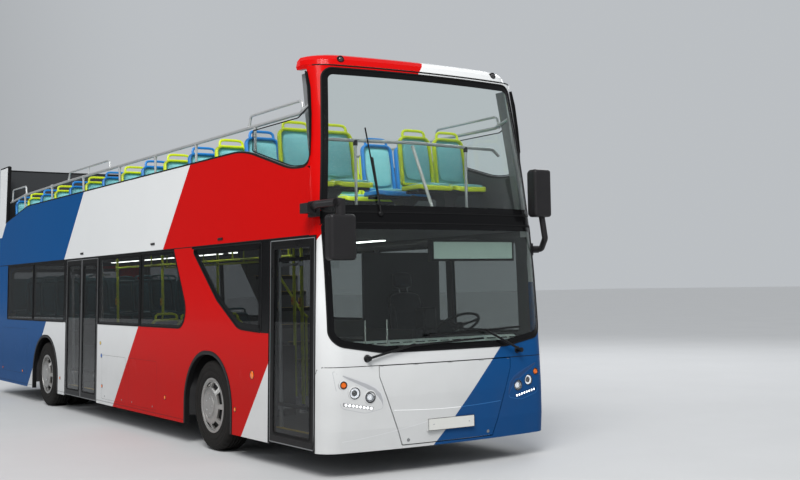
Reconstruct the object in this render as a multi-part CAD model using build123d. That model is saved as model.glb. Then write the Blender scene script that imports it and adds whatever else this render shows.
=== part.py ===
from build123d import *
from math import atan, cos, degrees, radians, sin, sqrt
import os

# Open-top double-decker sightseeing bus.
# Frame: +X forward, +Y to the bus's left, +Z up; the origin lies on the ground
# under the middle of the bounding box. Doors are on the right side (-Y).
# Stations ("st") are measured from the plane of the inner headlamps, rearwards
# negative; NOSE shifts them into the frame.
os.makedirs("parts", exist_ok=True)

# ---------------------------------------------------------------- dimensions
NOSE = 5690.0          # X of the headlamp plane
SKIRT_Z = 229.0        # lower edge of the body
HALF_W = 1277.0        # half width at the skirt
LEAN = 0.0255          # tumblehome of the sides, mm per mm
WALL = 45.0            # thickness of side walls
SILL_Z = 1262.0        # lower edge of the saloon windows
LINTEL_Z = 2120.0      # upper edge of the saloon windows
JOINT_Z = 2143.0       # joint between lower side wall and upper side panel
PARAPET_Z = 3062.0     # top of the upper-deck side
TAIL = -11620.0        # station of the rear face
FLOOR_Z = 375.0        # top of the low floor
PLATFORM_Z = 900.0     # top of the floor over the rear axle
BENCH_Z = 1240.0       # top of the floor over the engine
DECK_LO, DECK_HI = 2205.0, 2265.0    # upper floor
RAIL_Z = 3285.0        # handrail centre
RAIL_R = 17.0

FRONT_AXLE = -2500.0   # stations of the axles
REAR_AXLE = -8470.0
TYRE_R, TYRE_W, BEAD_R = 470.0, 275.0, 286.0
TRACK_F = 1100.0       # tyre centre from the centre plane, front
TRACK_R = (1105.0, 790.0)            # outer and inner tyre centres, rear
KINGPIN_Y = 895.0

DOOR_LO, DOOR_HI = 245.0, 2128.0
GAP = 10.0             # gap round door leaves and lids

# front door opening, middle door opening: rear station, front station
FRONT_DOOR = (-1120.0, -235.0)
MIDDLE_DOOR = (-7486.0, -6118.0)


def X(st):
    return st + NOSE


def hw(z):
    return HALF_W - LEAN * (z - SKIRT_Z)


# ------------------------------------------------------------------- helpers
def box(x0, x1, y0, y1, z0, z1):
    return Pos((x0 + x1) / 2, (y0 + y1) / 2, (z0 + z1) / 2) * Box(
        abs(x1 - x0), abs(y1 - y0), abs(z1 - z0))


def prism(points, a, b, axis, radius=0):
    """Outline of points swept from a to b along 'x', 'y' or 'z'."""
    place = {"x": lambda p: (a, p[0], p[1]), "y": lambda p: (p[0], a, p[1]),
             "z": lambda p: (p[0], p[1], a)}[axis]
    pts = [place(p) for p in points]
    if radius:
        r = radius if isinstance(radius, (list, tuple)) else [radius] * len(pts)
        wire = FilletPolyline(*pts, radius=list(r), close=True)
    else:
        wire = Polyline(*pts, close=True)
    way = {"x": (1, 0, 0), "y": (0, 1, 0), "z": (0, 0, 1)}[axis]
    if b < a:
        way = tuple(-w for w in way)
    return extrude(make_face(wire), amount=abs(b - a), dir=way)


def rod(p, q, r):
    """Round bar from p to q."""
    p, q = Vector(*p), Vector(*q)
    plane = Plane(origin=p, z_dir=q - p)
    return extrude(plane * Circle(r), amount=(q - p).length)


def tube(points, r, bend):
    """Round bar along straight runs with bends of radius 'bend'."""
    path = FilletPolyline(*points, radius=bend)
    start = Plane(origin=points[0],
                  z_dir=Vector(*points[1]) - Vector(*points[0]))
    return sweep(start * Circle(r), path=path)


def lean(shape, side):
    """Tip a piece built upright at the skirt line to the side's tumblehome."""
    return shape.rotate(Axis((0, side * HALF_W, SKIRT_Z), (1, 0, 0)),
                        side * degrees(atan(LEAN)))


def side_plate(outline, cuts, side, thick, inset=0.0, radius=0):
    """Plate in the leaning side plane; outline and cuts are (X, z) lists."""
    y0 = side * (HALF_W - inset)
    y1 = side * (HALF_W - inset - thick)
    plate = prism(outline, y0, y1, "y", radius)
    for pts, r in cuts:
        plate -= prism(pts, y0 + side * 5, y1 - side * 5, "y", r)
    return lean(plate, side)


def save(shape, name):
    if isinstance(shape, (list, ShapeList)):
        shape = Compound(children=list(shape))
    export_step(shape, "parts/" + name + ".step")
    print(name, flush=True)


def mirrored(shape):
    return mirror(shape, about=Plane.XZ)


# ----------------------------------------------------------- nose and tail
# nose sections: z, centre station, corner radius; width follows the sides
NOSE_R = 7000.0
NOSE_SECTIONS = [
    (229, 22, 205), (420, 44, 208), (700, 52, 210), (1000, 48, 212),
    (1400, 36, 214), (1800, 14, 215), (2200, -24, 214), (2600, -84, 210),
    (3000, -148, 206), (3350, -206, 214), (3700, -264, 232)]
# tail sections: z, station, corner radius
TAIL_R = 9000.0
TAIL_SECTIONS = [(229, TAIL + 30, 160), (700, TAIL, 165), (2143, TAIL + 25, 170),
                 (3000, TAIL + 45, 175), (3810, TAIL + 70, 180)]


def bow(z, tip, big, rc, w, end, inset, way):
    """Plan section: side lines, two corner arcs and one wide front arc.
    way = +1 at the nose, -1 at the tail; end is where the side lines stop."""
    R, c, half, xt = big - inset, rc - inset, w - inset, tip - way * inset
    cb = xt - way * R
    cx = cb + way * sqrt((R - c) ** 2 - (half - c) ** 2)
    ux, uy = (cx - cb) / (R - c), (half - c) / (R - c)
    mx, my = ux, 1 + uy
    n = sqrt(mx * mx + my * my)
    s, m = (cx, half), (cx + mx / n * c, half - c + my / n * c)
    t, f = (cb + ux * R, uy * R), (xt, 0.0)

    def P(p, sgn=1):
        return (p[0], sgn * p[1], z)
    rim = [Line((end, -half, z), P(s, -1)),
           ThreePointArc(P(s, -1), P(m, -1), P(t, -1)),
           ThreePointArc(P(t, -1), P(f), P(t)),
           ThreePointArc(P(t), P(m), P(s)),
           Line(P(s), (end, half, z)),
           Line((end, half, z), (end, -half, z))]
    return make_face(Wire(rim))


def section_rows(sections, lo, hi):
    def at(z):
        for a, b in zip(sections, sections[1:]):
            if a[0] <= z <= b[0]:
                k = (z - a[0]) / (b[0] - a[0])
                return (z,) + tuple(a[i] + k * (b[i] - a[i]) for i in (1, 2))
    return [at(lo)] + [s for s in sections if lo < s[0] < hi] + [at(hi)]


def body_solid(sections, big, end, way, inset, lo, hi):
    faces = [bow(z, X(tip), big, rc, hw(z), X(end), inset, way)
             for z, tip, rc in section_rows(sections, lo, hi)]
    return loft(faces, ruled=True)


def shell(sections, big, end, way, inset, thick, lo, hi):
    outer = body_solid(sections, big, end, way, inset, lo, hi)
    inner = body_solid(sections, big, end - way * 60, way, inset + thick, lo, hi)
    return outer - inner


FRONT_T = 50.0
NOSE_BACK = -760.0     # where the nose sections stop
nose_shell = shell(NOSE_SECTIONS, NOSE_R, NOSE_BACK, 1, 0, FRONT_T, 229, 3700)
nose_solid = body_solid(NOSE_SECTIONS, NOSE_R, NOSE_BACK, 1, 0, 229, 3700)
glass_shell = shell(NOSE_SECTIONS, NOSE_R, NOSE_BACK, 1, 3, 9, 1050, 3690)

# side boundary of the nose pieces: (station, z); the door post below, the
# upper side panel in the middle, the open upper deck above
POST_EDGE = [(-235, 200), (-235, 2144), (-345, 2144), (-348, 2900), (-350, 3033),
             (-365, 3236), (-400, 3485), (-445, 3640), (-455, 3640)]
POST_KEEP = [(300, 200)] + POST_EDGE + [(-455, 3700), (300, 3700)]
keep = prism([(X(s), z) for s, z in POST_KEEP], -1500, 1500, "y")
nose_shell = nose_shell & keep

# screen openings seen from the front: (y, z) and corner radii
LOWER_SCREEN = [(-1190, 1172), (-700, 1092), (700, 1092), (1190, 1172),
                (1186, 2246), (-1186, 2246)]
LOWER_R = [150, 600, 600, 150, 40, 40]
UPPER_SCREEN = [(-1186, 2346), (1186, 2346), (1074, 3668), (-1074, 3668)]
UPPER_R = [40, 40, 110, 110]
SPLIT_Z = 1050.0       # joint between the front panel and the screen frame

lower_cut = prism(LOWER_SCREEN, X(-700), X(400), "x", LOWER_R)
upper_cut = prism(UPPER_SCREEN, X(-700), X(400), "x", UPPER_R)
front_frame = nose_shell & box(X(-700), X(400), -1500, 1500, SPLIT_Z, 3690)
front_frame = front_frame - lower_cut - upper_cut
save(front_frame, "front_frame")
screens = [glass_shell & lower_cut & keep, glass_shell & upper_cut & keep]
save(screens, "windscreens")

# ------------------------------------------------- front panel and its flap
FLAP_TOP, FLAP_KNEE, FLAP_LOW = (735.0, 972.0), (735.0, 880.0), (505.0, 262.0)
FLAP_T = 25.0          # the flap's skin is thinner than the panel round it


def flap_outline(g):
    half = [(FLAP_LOW[0] + g, FLAP_LOW[1] - g), (FLAP_KNEE[0] + g, FLAP_KNEE[1]),
            (FLAP_TOP[0] + g, FLAP_TOP[1] + g)]
    return [(-y, z) for y, z in half] + half[::-1]


# lamps on one side, seen from the front: name, |y|, z, radius
LAMPS = [("inner", 836, 705, 62), ("outer", 983, 747, 62), ("turn", 1088, 822, 42)]
front_panel = nose_shell & box(X(-700), X(400), -1500, 1500, 200, SPLIT_Z)
flap_cut = prism(flap_outline(GAP), X(-400), X(400), "x")
flap = shell(NOSE_SECTIONS, NOSE_R, NOSE_BACK, 1, 0, FLAP_T, 229, 1050)
flap = flap & prism(flap_outline(0), X(-400), X(400), "x")
front_panel = front_panel - flap_cut
lamps = []
for name, ly, lz, lr in LAMPS:
    for s in (-1, 1):
        front_panel -= rod((X(-300), s * ly, lz), (X(300), s * ly, lz), lr)
        lens = rod((X(-120), s * ly, lz), (X(300), s * ly, lz), lr - 0.4)
        lamps.append(lens & nose_solid)
# a row of daytime lamps under the headlamps, and their slots
for s in (-1, 1):
    slot = prism([(s * 800, 588), (s * 1090, 640), (s * 1090, 668), (s * 800, 616)],
                 X(-300), X(300), "x")
    front_panel -= slot
    strip = prism([(s * 801, 588.6), (s * 1089, 640.6), (s * 1089, 667.4),
                   (s * 801, 615.4)], X(-140), X(300), "x")
    lamps.append(strip & nose_solid)
save(front_panel, "front_panel")
# blank number plate standing 6 mm proud on the flap, 520 x 110
plate = box(X(30), X(60), -260, 260, 365, 475)
flap = flap + (plate - (nose_solid & box(X(-20), X(60), -400, 400, 300, 500)))
save(flap, "front_flap")

# ------------------------------------------------------------ short front roof
# z, front station, corner radius, half width, rear station
ROOF = [(3703, -265, 340, 1188), (3755, -284, 330, 1178),
        (3795, -325, 320, 1150), (3818, -395, 300, 1090)]
ROOF_END = -622.0
roof = loft([bow(z, X(tip), NOSE_R, rc, w, X(-900), 0, 1)
             for z, tip, rc, w in ROOF], ruled=True)
hollow = loft([bow(z, X(tip), NOSE_R, rc, w, X(-960), 45, 1)
               for z, tip, rc, w in [(3690, -262, 350, 1189), (3768, -300, 340, 1170)]],
              ruled=True)
roof = (roof - hollow) & box(X(ROOF_END), X(200), -1500, 1500, 3600, 3900)
# side cheeks that carry the roof's rear end down to the posts
cheek = prism([(X(-457), 3660), (X(-457), 3703), (X(-622), 3703), (X(-600), 3672)],
              -1188, -1143, "y")
roof = roof + cheek + mirrored(cheek)
save(roof, "front_roof")

# ------------------------------------------------------------------ side walls
ARCH_F = (FRONT_AXLE - 40, 580, 1000)     # station, half width, top z
ARCH_R = (REAR_AXLE, 610, 1016)


def arch(spec):
    c, h, top = spec
    pts = [(X(c - h), 150), (X(c + h), 150), (X(c + h), top), (X(c - h), top)]
    return pts, [0, 0, h * 0.93, h * 0.93]


def pane(x0, x1, z0=SILL_Z, z1=LINTEL_Z):
    return [(X(x0), z0), (X(x1), z0), (X(x1), z1), (X(x0), z1)]


QUARTER = [(X(-2985), LINTEL_Z), (X(-2325), 1575), (X(-1800), 1285),
           (X(-1290), SILL_Z), (X(-1290), LINTEL_Z)]
SLANT = [(X(-4535), SILL_Z), (X(-3005), SILL_Z), (X(-3500), LINTEL_Z),
         (X(-4535), LINTEL_Z)]
RIGHT_WINDOWS = [(QUARTER, [30, 420, 420, 30, 30]), (SLANT, [30, 200, 30, 30]),
                 (pane(-6085, -4575), 30), (pane(-9165, -7580), 30),
                 (pane(-10700, -9205), 30)]
LEFT_WINDOWS = [(pane(-1560, -420, 1180), [60, 60, 60, 60]),
                (pane(-3060, -1640), 30), (pane(-4535, -3100), 30),
                (pane(-6085, -4575), 30), (pane(-7600, -6125), 30),
                (pane(-9165, -7640), 30), (pane(-10700, -9205), 30)]

SIDE_END = -11120.0
wall_mid = [(X(MIDDLE_DOOR[1]), SKIRT_Z), (X(FRONT_DOOR[0]), SKIRT_Z),
            (X(FRONT_DOOR[0]), JOINT_Z), (X(MIDDLE_DOOR[1]), JOINT_Z)]
wall_rear = [(X(SIDE_END), SKIRT_Z), (X(MIDDLE_DOOR[0]), SKIRT_Z),
             (X(MIDDLE_DOOR[0]), JOINT_Z), (X(SIDE_END), JOINT_Z)]
right_wall = [
    side_plate(wall_mid, [arch(ARCH_F)] + RIGHT_WINDOWS[:3], -1, WALL),
    side_plate(wall_rear, [arch(ARCH_R)] + RIGHT_WINDOWS[3:], -1, WALL)]
save(right_wall, "right_side_wall")
left_outline = [(X(SIDE_END), SKIRT_Z), (X(-238), SKIRT_Z), (X(-238), JOINT_Z),
                (X(SIDE_END), JOINT_Z)]
left_wall = side_plate(left_outline, [arch(ARCH_F), arch(ARCH_R)] + LEFT_WINDOWS,
                       1, WALL)
save(left_wall, "left_side_wall")

# rear boundary of the upper side, shared with the rear hood: (station, z)
HOOD_EDGE = [(-11390, JOINT_Z), (-11180, 2600), (-10890, 2870), (-10825, 3800)]
# upper side panel: rises with the parapet, dips beside the front seats
UPPER = [(-11386, JOINT_Z + 3), (-348, JOINT_Z + 3), (-348, 2772), (-700, 2777),
         (-1720, PARAPET_Z), (-9600, PARAPET_Z), (-10884, 2872), (-11176, 2598)]
UPPER_RAD = [0, 0, 75, 1250, 2000, 2200, 30, 60]
panels = {}
for side, name in ((-1, "right_upper_panel"), (1, "left_upper_panel")):
    panels[name] = side_plate([(X(s), z) for s, z in UPPER], [], side, WALL,
                              radius=UPPER_RAD)
    save(panels[name], name)

# ------------------------------------------------------------------- glazing
GLASS_T = 8.0
glazing = []
for windows, side in ((RIGHT_WINDOWS, -1), (LEFT_WINDOWS, 1)):
    for pts, r in windows:
        cx = sum(p[0] for p in pts) / len(pts)
        cz = sum(p[1] for p in pts) / len(pts)
        glazing.append(side_plate(pts, [], side, GLASS_T, inset=2.0, radius=r))
# low wind panes beside the front seats of the open deck: (station, z)
WIND_PANE = [(-366, 2788), (-695, 2792), (-1560, 3034), (-1560, 3240), (-620, 3240),
             (-385, 3330)]
for side in (-1, 1):
    glazing.append(side_plate([(X(s), z) for s, z in WIND_PANE], [], side, 6.0,
                              inset=24.0, radius=[140, 1050, 20, 20, 60, 10]))

# ------------------------------------------------------------------- tail
tail_shell = shell(TAIL_SECTIONS, TAIL_R, -10700, -1, 0, WALL, 229, 3810)
rear_low = tail_shell & box(X(-12000), X(SIDE_END - 3), -1500, 1500, 200, JOINT_Z)
REAR_WINDOW = [(-980, 1330), (980, 1330), (960, 2090), (-960, 2090)]
rear_cut = prism(REAR_WINDOW, X(-12000), X(-11300), "x", 90)
LID = (760.0, 470.0, 1190.0)       # half width, low z, high z


def lid_outline(g):
    w, lo, hi = LID
    return [(-w - g, lo - g), (w + g, lo - g), (w + g, hi + g), (-w - g, hi + g)]


lid = tail_shell & prism(lid_outline(0), X(-12000), X(-11450), "x", 40)
rear_low = rear_low - rear_cut - prism(lid_outline(GAP), X(-12000), X(-11450), "x", 50)
# tail lamps on one side: |y|, z, radius
TAIL_LAMPS = [(1085, 640, 48), (1085, 780, 48), (1085, 920, 48), (1085, 1600, 40)]
tail_lamps = []
tail_solid = body_solid(TAIL_SECTIONS, TAIL_R, -11000, -1, 0, 229, 3810)
for ly, lz, lr in TAIL_LAMPS:
    for s in (-1, 1):
        rear_low -= rod((X(-12000), s * ly, lz), (X(-11300), s * ly, lz), lr)
        lens = rod((X(-12000), s * ly, lz), (X(-11470), s * ly, lz), lr - 0.4)
        tail_lamps.append(lens & tail_solid)
# opening in front of the rear towing eye
rear_low -= box(X(-12000), X(-11400), -60, 60, 246, 352)
save(rear_low, "rear_wall")
save(lid, "engine_cover")
tail_glass = shell(TAIL_SECTIONS, TAIL_R, -11000, -1, 2, GLASS_T, 1200, 2150)
glazing.append(tail_glass & rear_cut)
save(glazing, "window_glass")

# hood round the open deck's rear end: its sides start at HOOD_EDGE
hood_keep = prism([(X(s), z) for s, z in HOOD_EDGE] + [(X(-12000), 3800),
                  (X(-12000), JOINT_Z + 3)], -1500, 1500, "y",
                  [0, 60, 60, 0, 0, 0])
hood = (tail_shell & hood_keep)
save(hood, "rear_hood")

# --------------------------------------------------------------- lamps saved
front_lamp_solids = []
for piece in lamps:
    front_lamp_solids.append(piece & box(X(-62), X(300), -1500, 1500, 200, 1300))
save(front_lamp_solids, "headlamps")
save(tail_lamps, "tail_lamps")

# ------------------------------------------------------------------- floors
HOUSE_T = 25.0
# wheel housings: station, half length, inner |y|, top z
HOUSES = [(FRONT_AXLE, 622, 572, 1085), (REAR_AXLE, 618, 600, 1105)]


def house_box(spec, grow=0.0):
    c, h, yi, top = spec
    return box(X(c - h) - grow, X(c + h) + grow, -1226, -yi + grow, 320, top + grow)


floor_profile = [(X(-345), FLOOR_Z - 40), (X(-345), FLOOR_Z), (X(-7640), FLOOR_Z),
                 (X(-7640), PLATFORM_Z), (X(-10200), PLATFORM_Z),
                 (X(-10200), BENCH_Z), (X(-11460), BENCH_Z),
                 (X(-11460), BENCH_Z - 40), (X(-10240), BENCH_Z - 40),
                 (X(-10240), PLATFORM_Z - 40), (X(-7680), PLATFORM_Z - 40),
                 (X(-7680), FLOOR_Z - 40)]
floor = prism(floor_profile, -1222, 1222, "y")
# corners cut back at the rounded tail
floor -= box(X(-11600), X(-11360), 900, 1300, 1100, 1300)
floor -= box(X(-11600), X(-11360), -1300, -900, 1100, 1300)
houses = []
for spec in HOUSES:
    b = house_box(spec, 0.5)
    floor -= b
    floor -= mirrored(b)
    c, h, yi, top = spec
    inner = box(X(c - h) + HOUSE_T, X(c + h) - HOUSE_T, -1400, -yi - HOUSE_T,
                200, top - HOUSE_T)
    one = house_box(spec) - inner
    # slot for the axle through the inner wall
    one -= box(X(c) - 110, X(c) + 110, -yi - 60, -yi + 10, 300, 580)
    houses += [one, mirrored(one)]
# keep the housings and floors inside the leaning walls
trim = lean(box(X(-11700), X(0), -1400, -HALF_W + WALL + 1.0, 100, 1400), -1)
houses = [h - trim - mirrored(trim) for h in houses]
floor = floor - trim - mirrored(trim)
save(floor, "lower_floor")
save(houses, "wheel_housings")

# stair well in the upper floor: stations and |y|
WELL = (-5440.0, -3350.0, 480.0, 1150.0)
deck = box(X(-11480), X(-280), -1172, 1172, DECK_LO, DECK_HI)
deck -= box(X(-400), X(-200), 900, 1300, 2100, 2400)
deck -= box(X(-400), X(-200), -1300, -900, 2100, 2400)
deck -= box(X(-11600), X(-11380), 1000, 1300, 2100, 2400)
deck -= box(X(-11600), X(-11380), -1300, -1000, 2100, 2400)
deck -= box(X(WELL[0]), X(WELL[1]), WELL[2], WELL[3], 2100, 2400)
save(deck, "upper_floor")

# ------------------------------------------------------------------ staircase
STEPS, GOING = 9, 232.0
RISE = (DECK_HI - FLOOR_Z) / STEPS
x0 = X(WELL[1] - 230)
# stringer shaped as one slanted slab with steps cut on top
slab = [(x0, FLOOR_Z)]
for i in range(STEPS - 1):
    slab += [(x0 - i * GOING, FLOOR_Z + (i + 1) * RISE),
             (x0 - (i + 1) * GOING, FLOOR_Z + (i + 1) * RISE)]
slab += [(x0 - (STEPS - 1) * GOING, DECK_LO - 2),
         (x0 - (STEPS - 1) * GOING - 70, DECK_LO - 2),
         (x0 - (STEPS - 1) * GOING - 70, DECK_LO - 110), (x0 - 190, FLOOR_Z)]
stairs = prism(slab, 500, 1130, "y")
save(stairs, "staircase")

# -------------------------------------------------------------- chassis frame
RAIL_Y, RAIL_HALF = 420.0, 35.0
rail_low = [(X(-180), 272), (X(-180), 333), (X(-7690), 333), (X(-7690), 780),
            (X(-10170), 780), (X(-10170), 332), (X(-11450), 332),
            (X(-11450), 272), (X(-10090), 272), (X(-10090), 700),
            (X(-7770), 700), (X(-7770), 272)]
JACK = (-3700.0, 258.0)    # jacking pads under the rails: station, lower face z
rails = []
for s in (-1, 1):
    rail = prism(rail_low, s * RAIL_Y - RAIL_HALF, s * RAIL_Y + RAIL_HALF, "y")
    rail += box(X(JACK[0]) - 60, X(JACK[0]) + 60, s * RAIL_Y - 50, s * RAIL_Y + 50,
                JACK[1], 272)
    rails.append(rail)
save(rails, "chassis_rails")
# cross members between the rails and outriggers: station, z low, z high, half length
CROSS = [(-215, 272, 333, 1150), (-1300, 272, 333, 1180), (-3700, 272, 333, 1180),
         (-5000, 272, 333, 1180), (-6100, 272, 333, 1100), (-7560, 272, 333, 1100),
         (-9600, 700, 780, 520), (-10130, 700, 780, 1180), (-11380, 272, 332, 900)]
members = []
for c, lo, hi, half in CROSS:
    members.append(box(X(c) - 35, X(c) + 35, -RAIL_Y + RAIL_HALF, RAIL_Y - RAIL_HALF, lo, hi))
    for s in (-1, 1):
        members.append(box(X(c) - 35, X(c) + 35, s * (RAIL_Y + RAIL_HALF), s * half, lo, hi))
save(members, "cross_members")
# towing eyes: flat plates with an upright pin hole, in front and at the rear
TOW_R, TOW_HALF, TOW_Z = 20.0, 45.0, (276.0, 311.0)
TOW_F, TOW_B = X(-95), X(-11515)


def tow_eye(x_root, x_tip, x_eye):
    eye = prism([(x_root, -TOW_HALF), (x_tip, -TOW_HALF), (x_tip, TOW_HALF), (x_root, TOW_HALF)],
                *TOW_Z, "z", [0, 40, 40, 0])
    return eye - rod((x_eye, 0, 200), (x_eye, 0, 400), TOW_R)


save([tow_eye(X(-180), X(-48), TOW_F), tow_eye(X(-11415), X(-11562), TOW_B)], "towing_eyes")

# ------------------------------------------------------------ engine
save(box(X(-11400), X(-10290), -500, 760, 345, 1170), "engine_block")

# ------------------------------------------------------------ axles, knuckles
BEAM = [(-840, 415), (-700, 395), (-590, 185), (590, 185), (700, 395), (840, 415),
        (840, 525), (655, 525), (545, 262), (-545, 262), (-655, 525), (-840, 525)]
PIN_R, FIT = 20.0, 0.05
fa = X(FRONT_AXLE)
beam = prism(BEAM, fa - 45, fa + 45, "x")
for s in (-1, 1):
    beam += rod((fa, s * KINGPIN_Y, 415), (fa, s * KINGPIN_Y, 525), 44)
    beam += box(fa - 40, fa + 40, s * 830, s * KINGPIN_Y, 415, 525)
    beam -= rod((fa, s * KINGPIN_Y, 300), (fa, s * KINGPIN_Y, 640), PIN_R + FIT)
# spring seats that carry the frame
for s in (-1, 1):
    beam += box(fa - 60, fa + 60, s * 385, s * 455, 250, 271.5)
save(beam, "front_axle")
SPINDLE_R = 35.0


def knuckle(s):
    k = rod((fa, s * KINGPIN_Y, 340), (fa, s * KINGPIN_Y, 600), PIN_R)
    for lo, hi in ((340, 405), (535, 600)):
        k += rod((fa, s * KINGPIN_Y, lo), (fa, s * KINGPIN_Y, hi), 42)
        k += box(fa - 38, fa + 38, s * KINGPIN_Y, s * 975, lo, hi)
    k += box(fa - 60, fa + 60, s * 950, s * 985, 340, 600)
    k += rod((fa, s * 980, TYRE_R), (fa, s * 1135, TYRE_R), SPINDLE_R)
    return k


save(knuckle(-1), "right_knuckle")
save(knuckle(1), "left_knuckle")

ra = X(REAR_AXLE)
rear_axle = rod((ra, -640, TYRE_R), (ra, 640, TYRE_R), 80)
rear_axle += Pos(ra, 0, TYRE_R) * Sphere(185)
rear_axle += rod((ra, -1080, TYRE_R), (ra, 1080, TYRE_R), 48)
for s in (-1, 1):
    rear_axle += box(ra - 70, ra + 70, s * 380, s * 460, TYRE_R + 40, 699.5)
save(rear_axle, "rear_axle")


# --------------------------------------------------------------------- wheels
def turned(points, s, cx, cz=TYRE_R, radius=0):
    """Ring turned about the wheel's axis; points are (|y|, r)."""
    pts = [(cx, s * y, cz + r) for y, r in points]
    if radius:
        wire = FilletPolyline(*pts, radius=radius, close=True)
    else:
        wire = Polyline(*pts, close=True)
    return revolve(make_face(wire), axis=Axis((cx, 0, cz), (0, 1, 0)))


def tyre(c, s, cx):
    h = TYRE_W / 2
    pts = [(c - h + 12, BEAD_R), (c - h, 330), (c - h, 410), (c - h + 18, 452),
           (c - h + 42, TYRE_R), (c + h - 42, TYRE_R), (c + h - 18, 452),
           (c + h, 410), (c + h, 330), (c + h - 12, BEAD_R)]
    return turned(pts, s, cx)


RIM_R = BEAD_R - 0.4
HUB_R = 105.0


def front_rim(s):
    c, h = TRACK_F, TYRE_W / 2
    pts = [(c - h + 14, RIM_R), (c - h + 14, RIM_R - 22), (c - 30, 250),
           (c - 5, 250), (c - 5, HUB_R), (995, HUB_R), (995, SPINDLE_R + FIT),
           (1140, SPINDLE_R + FIT), (1140, 0), (c + h - 30, 0), (c + h - 34, 90),
           (c + h - 34, 215), (c + h - 22, 250), (c + h - 8, 262),
           (c + h - 8, RIM_R)]
    return turned(pts, s, fa)


def rear_rims(s):
    outer, inner = TRACK_R
    h = TYRE_W / 2
    pts = [(inner - h + 14, RIM_R), (inner - h + 14, RIM_R - 22),
           (inner + 60, 250), (938, 245), (938, HUB_R + 30), (900, HUB_R + 30),
           (900, 48 + FIT), (1085, 48 + FIT), (1085, 0), (1190, 0), (1190, 85),
           (1180, 120), (1172, 215), (1196, 250), (outer + h - 8, 262),
           (outer + h - 8, RIM_R), (outer - h + 14, RIM_R), (outer - h + 14, RIM_R - 30),
           (inner + h - 14, RIM_R - 30), (inner + h - 14, RIM_R)]
    return turned(pts, s, ra)


for s, word in ((-1, "right"), (1, "left")):
    save(tyre(TRACK_F, s, fa), "front_" + word + "_tyre")
    save(front_rim(s), "front_" + word + "_rim")
    save([tyre(c, s, ra) for c in TRACK_R], "rear_" + word + "_tyres")
    save(rear_rims(s), "rear_" + word + "_rims")

# ----------------------------------------------------------------- door leaves
LEAF_T = 38.0
POST_Y = 1160.0        # |y| of the turning posts
POST_R = 18.0
ARM_Z = (560.0, 1900.0)


def leaf(x0, x1, panes):
    """Door leaf: frame with a thin pane in it; x0 < x1 are stations."""
    pts = [(X(x0), DOOR_LO), (X(x1), DOOR_LO), (X(x1), DOOR_HI), (X(x0), DOOR_HI)]
    cuts = [([(X(a), b), (X(c), b), (X(c), d), (X(a), d)], 35) for a, b, c, d in panes]
    s = side_plate(pts, cuts, -1, LEAF_T, inset=3.0, radius=12)
    for cut, r in cuts:
        s += side_plate(cut, [], -1, 8.0, inset=6.0, radius=r)
    return s


def ribbon(line, width):
    """Outline of a flat bar of even width along a line of (x, y) points."""
    def unit(a, b):
        d = sqrt((b[0] - a[0]) ** 2 + (b[1] - a[1]) ** 2)
        return (b[0] - a[0]) / d, (b[1] - a[1]) / d
    left, right = [], []
    for i, p in enumerate(line):
        a = unit(line[i - 1], p) if i else unit(p, line[1])
        b = unit(p, line[i + 1]) if i < len(line) - 1 else a
        nx, ny = -(a[1] + b[1]), a[0] + b[0]
        k = width / (nx * nx + ny * ny)
        left.append((p[0] + nx * k, p[1] + ny * k))
        right.append((p[0] - nx * k, p[1] - ny * k))
    return left + right[::-1]


def door(x0, x1, post, attach, panes, name):
    """Leaf carried by two cranked arms on a turning post. The leaf stays
    parallel to the side while the arms swing it out and past the opening."""
    s = leaf(x0, x1, panes)
    way = 1 if attach > post else -1
    stile = (x1 - 30) if way > 0 else (x0 + 30)
    # grab bars on the inner face, each with a pin for its arm
    for z in ARM_Z:
        yin = hw(z) - 3.0 - LEAF_T
        s += box(X(post + way * 70), X(stile), -yin - 5, -yin + 24, z + 26, z + 58)
        s += box(X(attach) - 24, X(attach) + 24, -yin + 10, -POST_Y, z + 26, z + 58)
        s += rod((X(attach), -POST_Y, z + 26), (X(attach), -POST_Y, z + 58), 24)
        s += rod((X(attach), -POST_Y, z + 40), (X(attach), -POST_Y, z - 22), 12)
    save(s, name)
    # turning post with its cranked arms
    px, ax = X(post), X(attach)
    p = rod((px, -POST_Y, FLOOR_Z + 0.3), (px, -POST_Y, DECK_LO - 0.3), POST_R)
    for z in ARM_Z:
        line = [(px, -POST_Y), (px + way * 55, -POST_Y + 120),
                (ax - way * 190, -POST_Y + 120), (ax, -POST_Y)]
        arm = prism(ribbon(line, 26), z - 12, z + 12, "z")
        arm += rod((ax, -POST_Y, z - 20), (ax, -POST_Y, z + 20), 26)
        arm += rod((px, -POST_Y, z - 22), (px, -POST_Y, z + 22), 28)
        arm -= rod((ax, -POST_Y, z - 40), (ax, -POST_Y, z + 40), 12 + FIT)
        p += arm
    save(p, name + "_post")


FD0, FD1 = FRONT_DOOR[0] + GAP, FRONT_DOOR[1] - GAP
MD0, MD1 = MIDDLE_DOOR[0] + GAP, MIDDLE_DOOR[1] - GAP
MDC = (MD0 + MD1) / 2
FRONT_POST = (-1060.0, -640.0)
MID_FRONT_POST = (-6178.0, -6488.0)
MID_REAR_POST = (-7426.0, -7116.0)
door(FD0, FD1, *FRONT_POST, [(FD0 + 75, 330, FD1 - 75, 2050)], "front_door")
door(MDC + GAP / 2, MD1, *MID_FRONT_POST,
     [(MDC + GAP / 2 + 60, 330, MD1 - 60, 2050)], "middle_door_front_leaf")
door(MD0, MDC - GAP / 2, *MID_REAR_POST,
     [(MD0 + 60, 330, MDC - GAP / 2 - 60, 2050)], "middle_door_rear_leaf")

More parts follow.
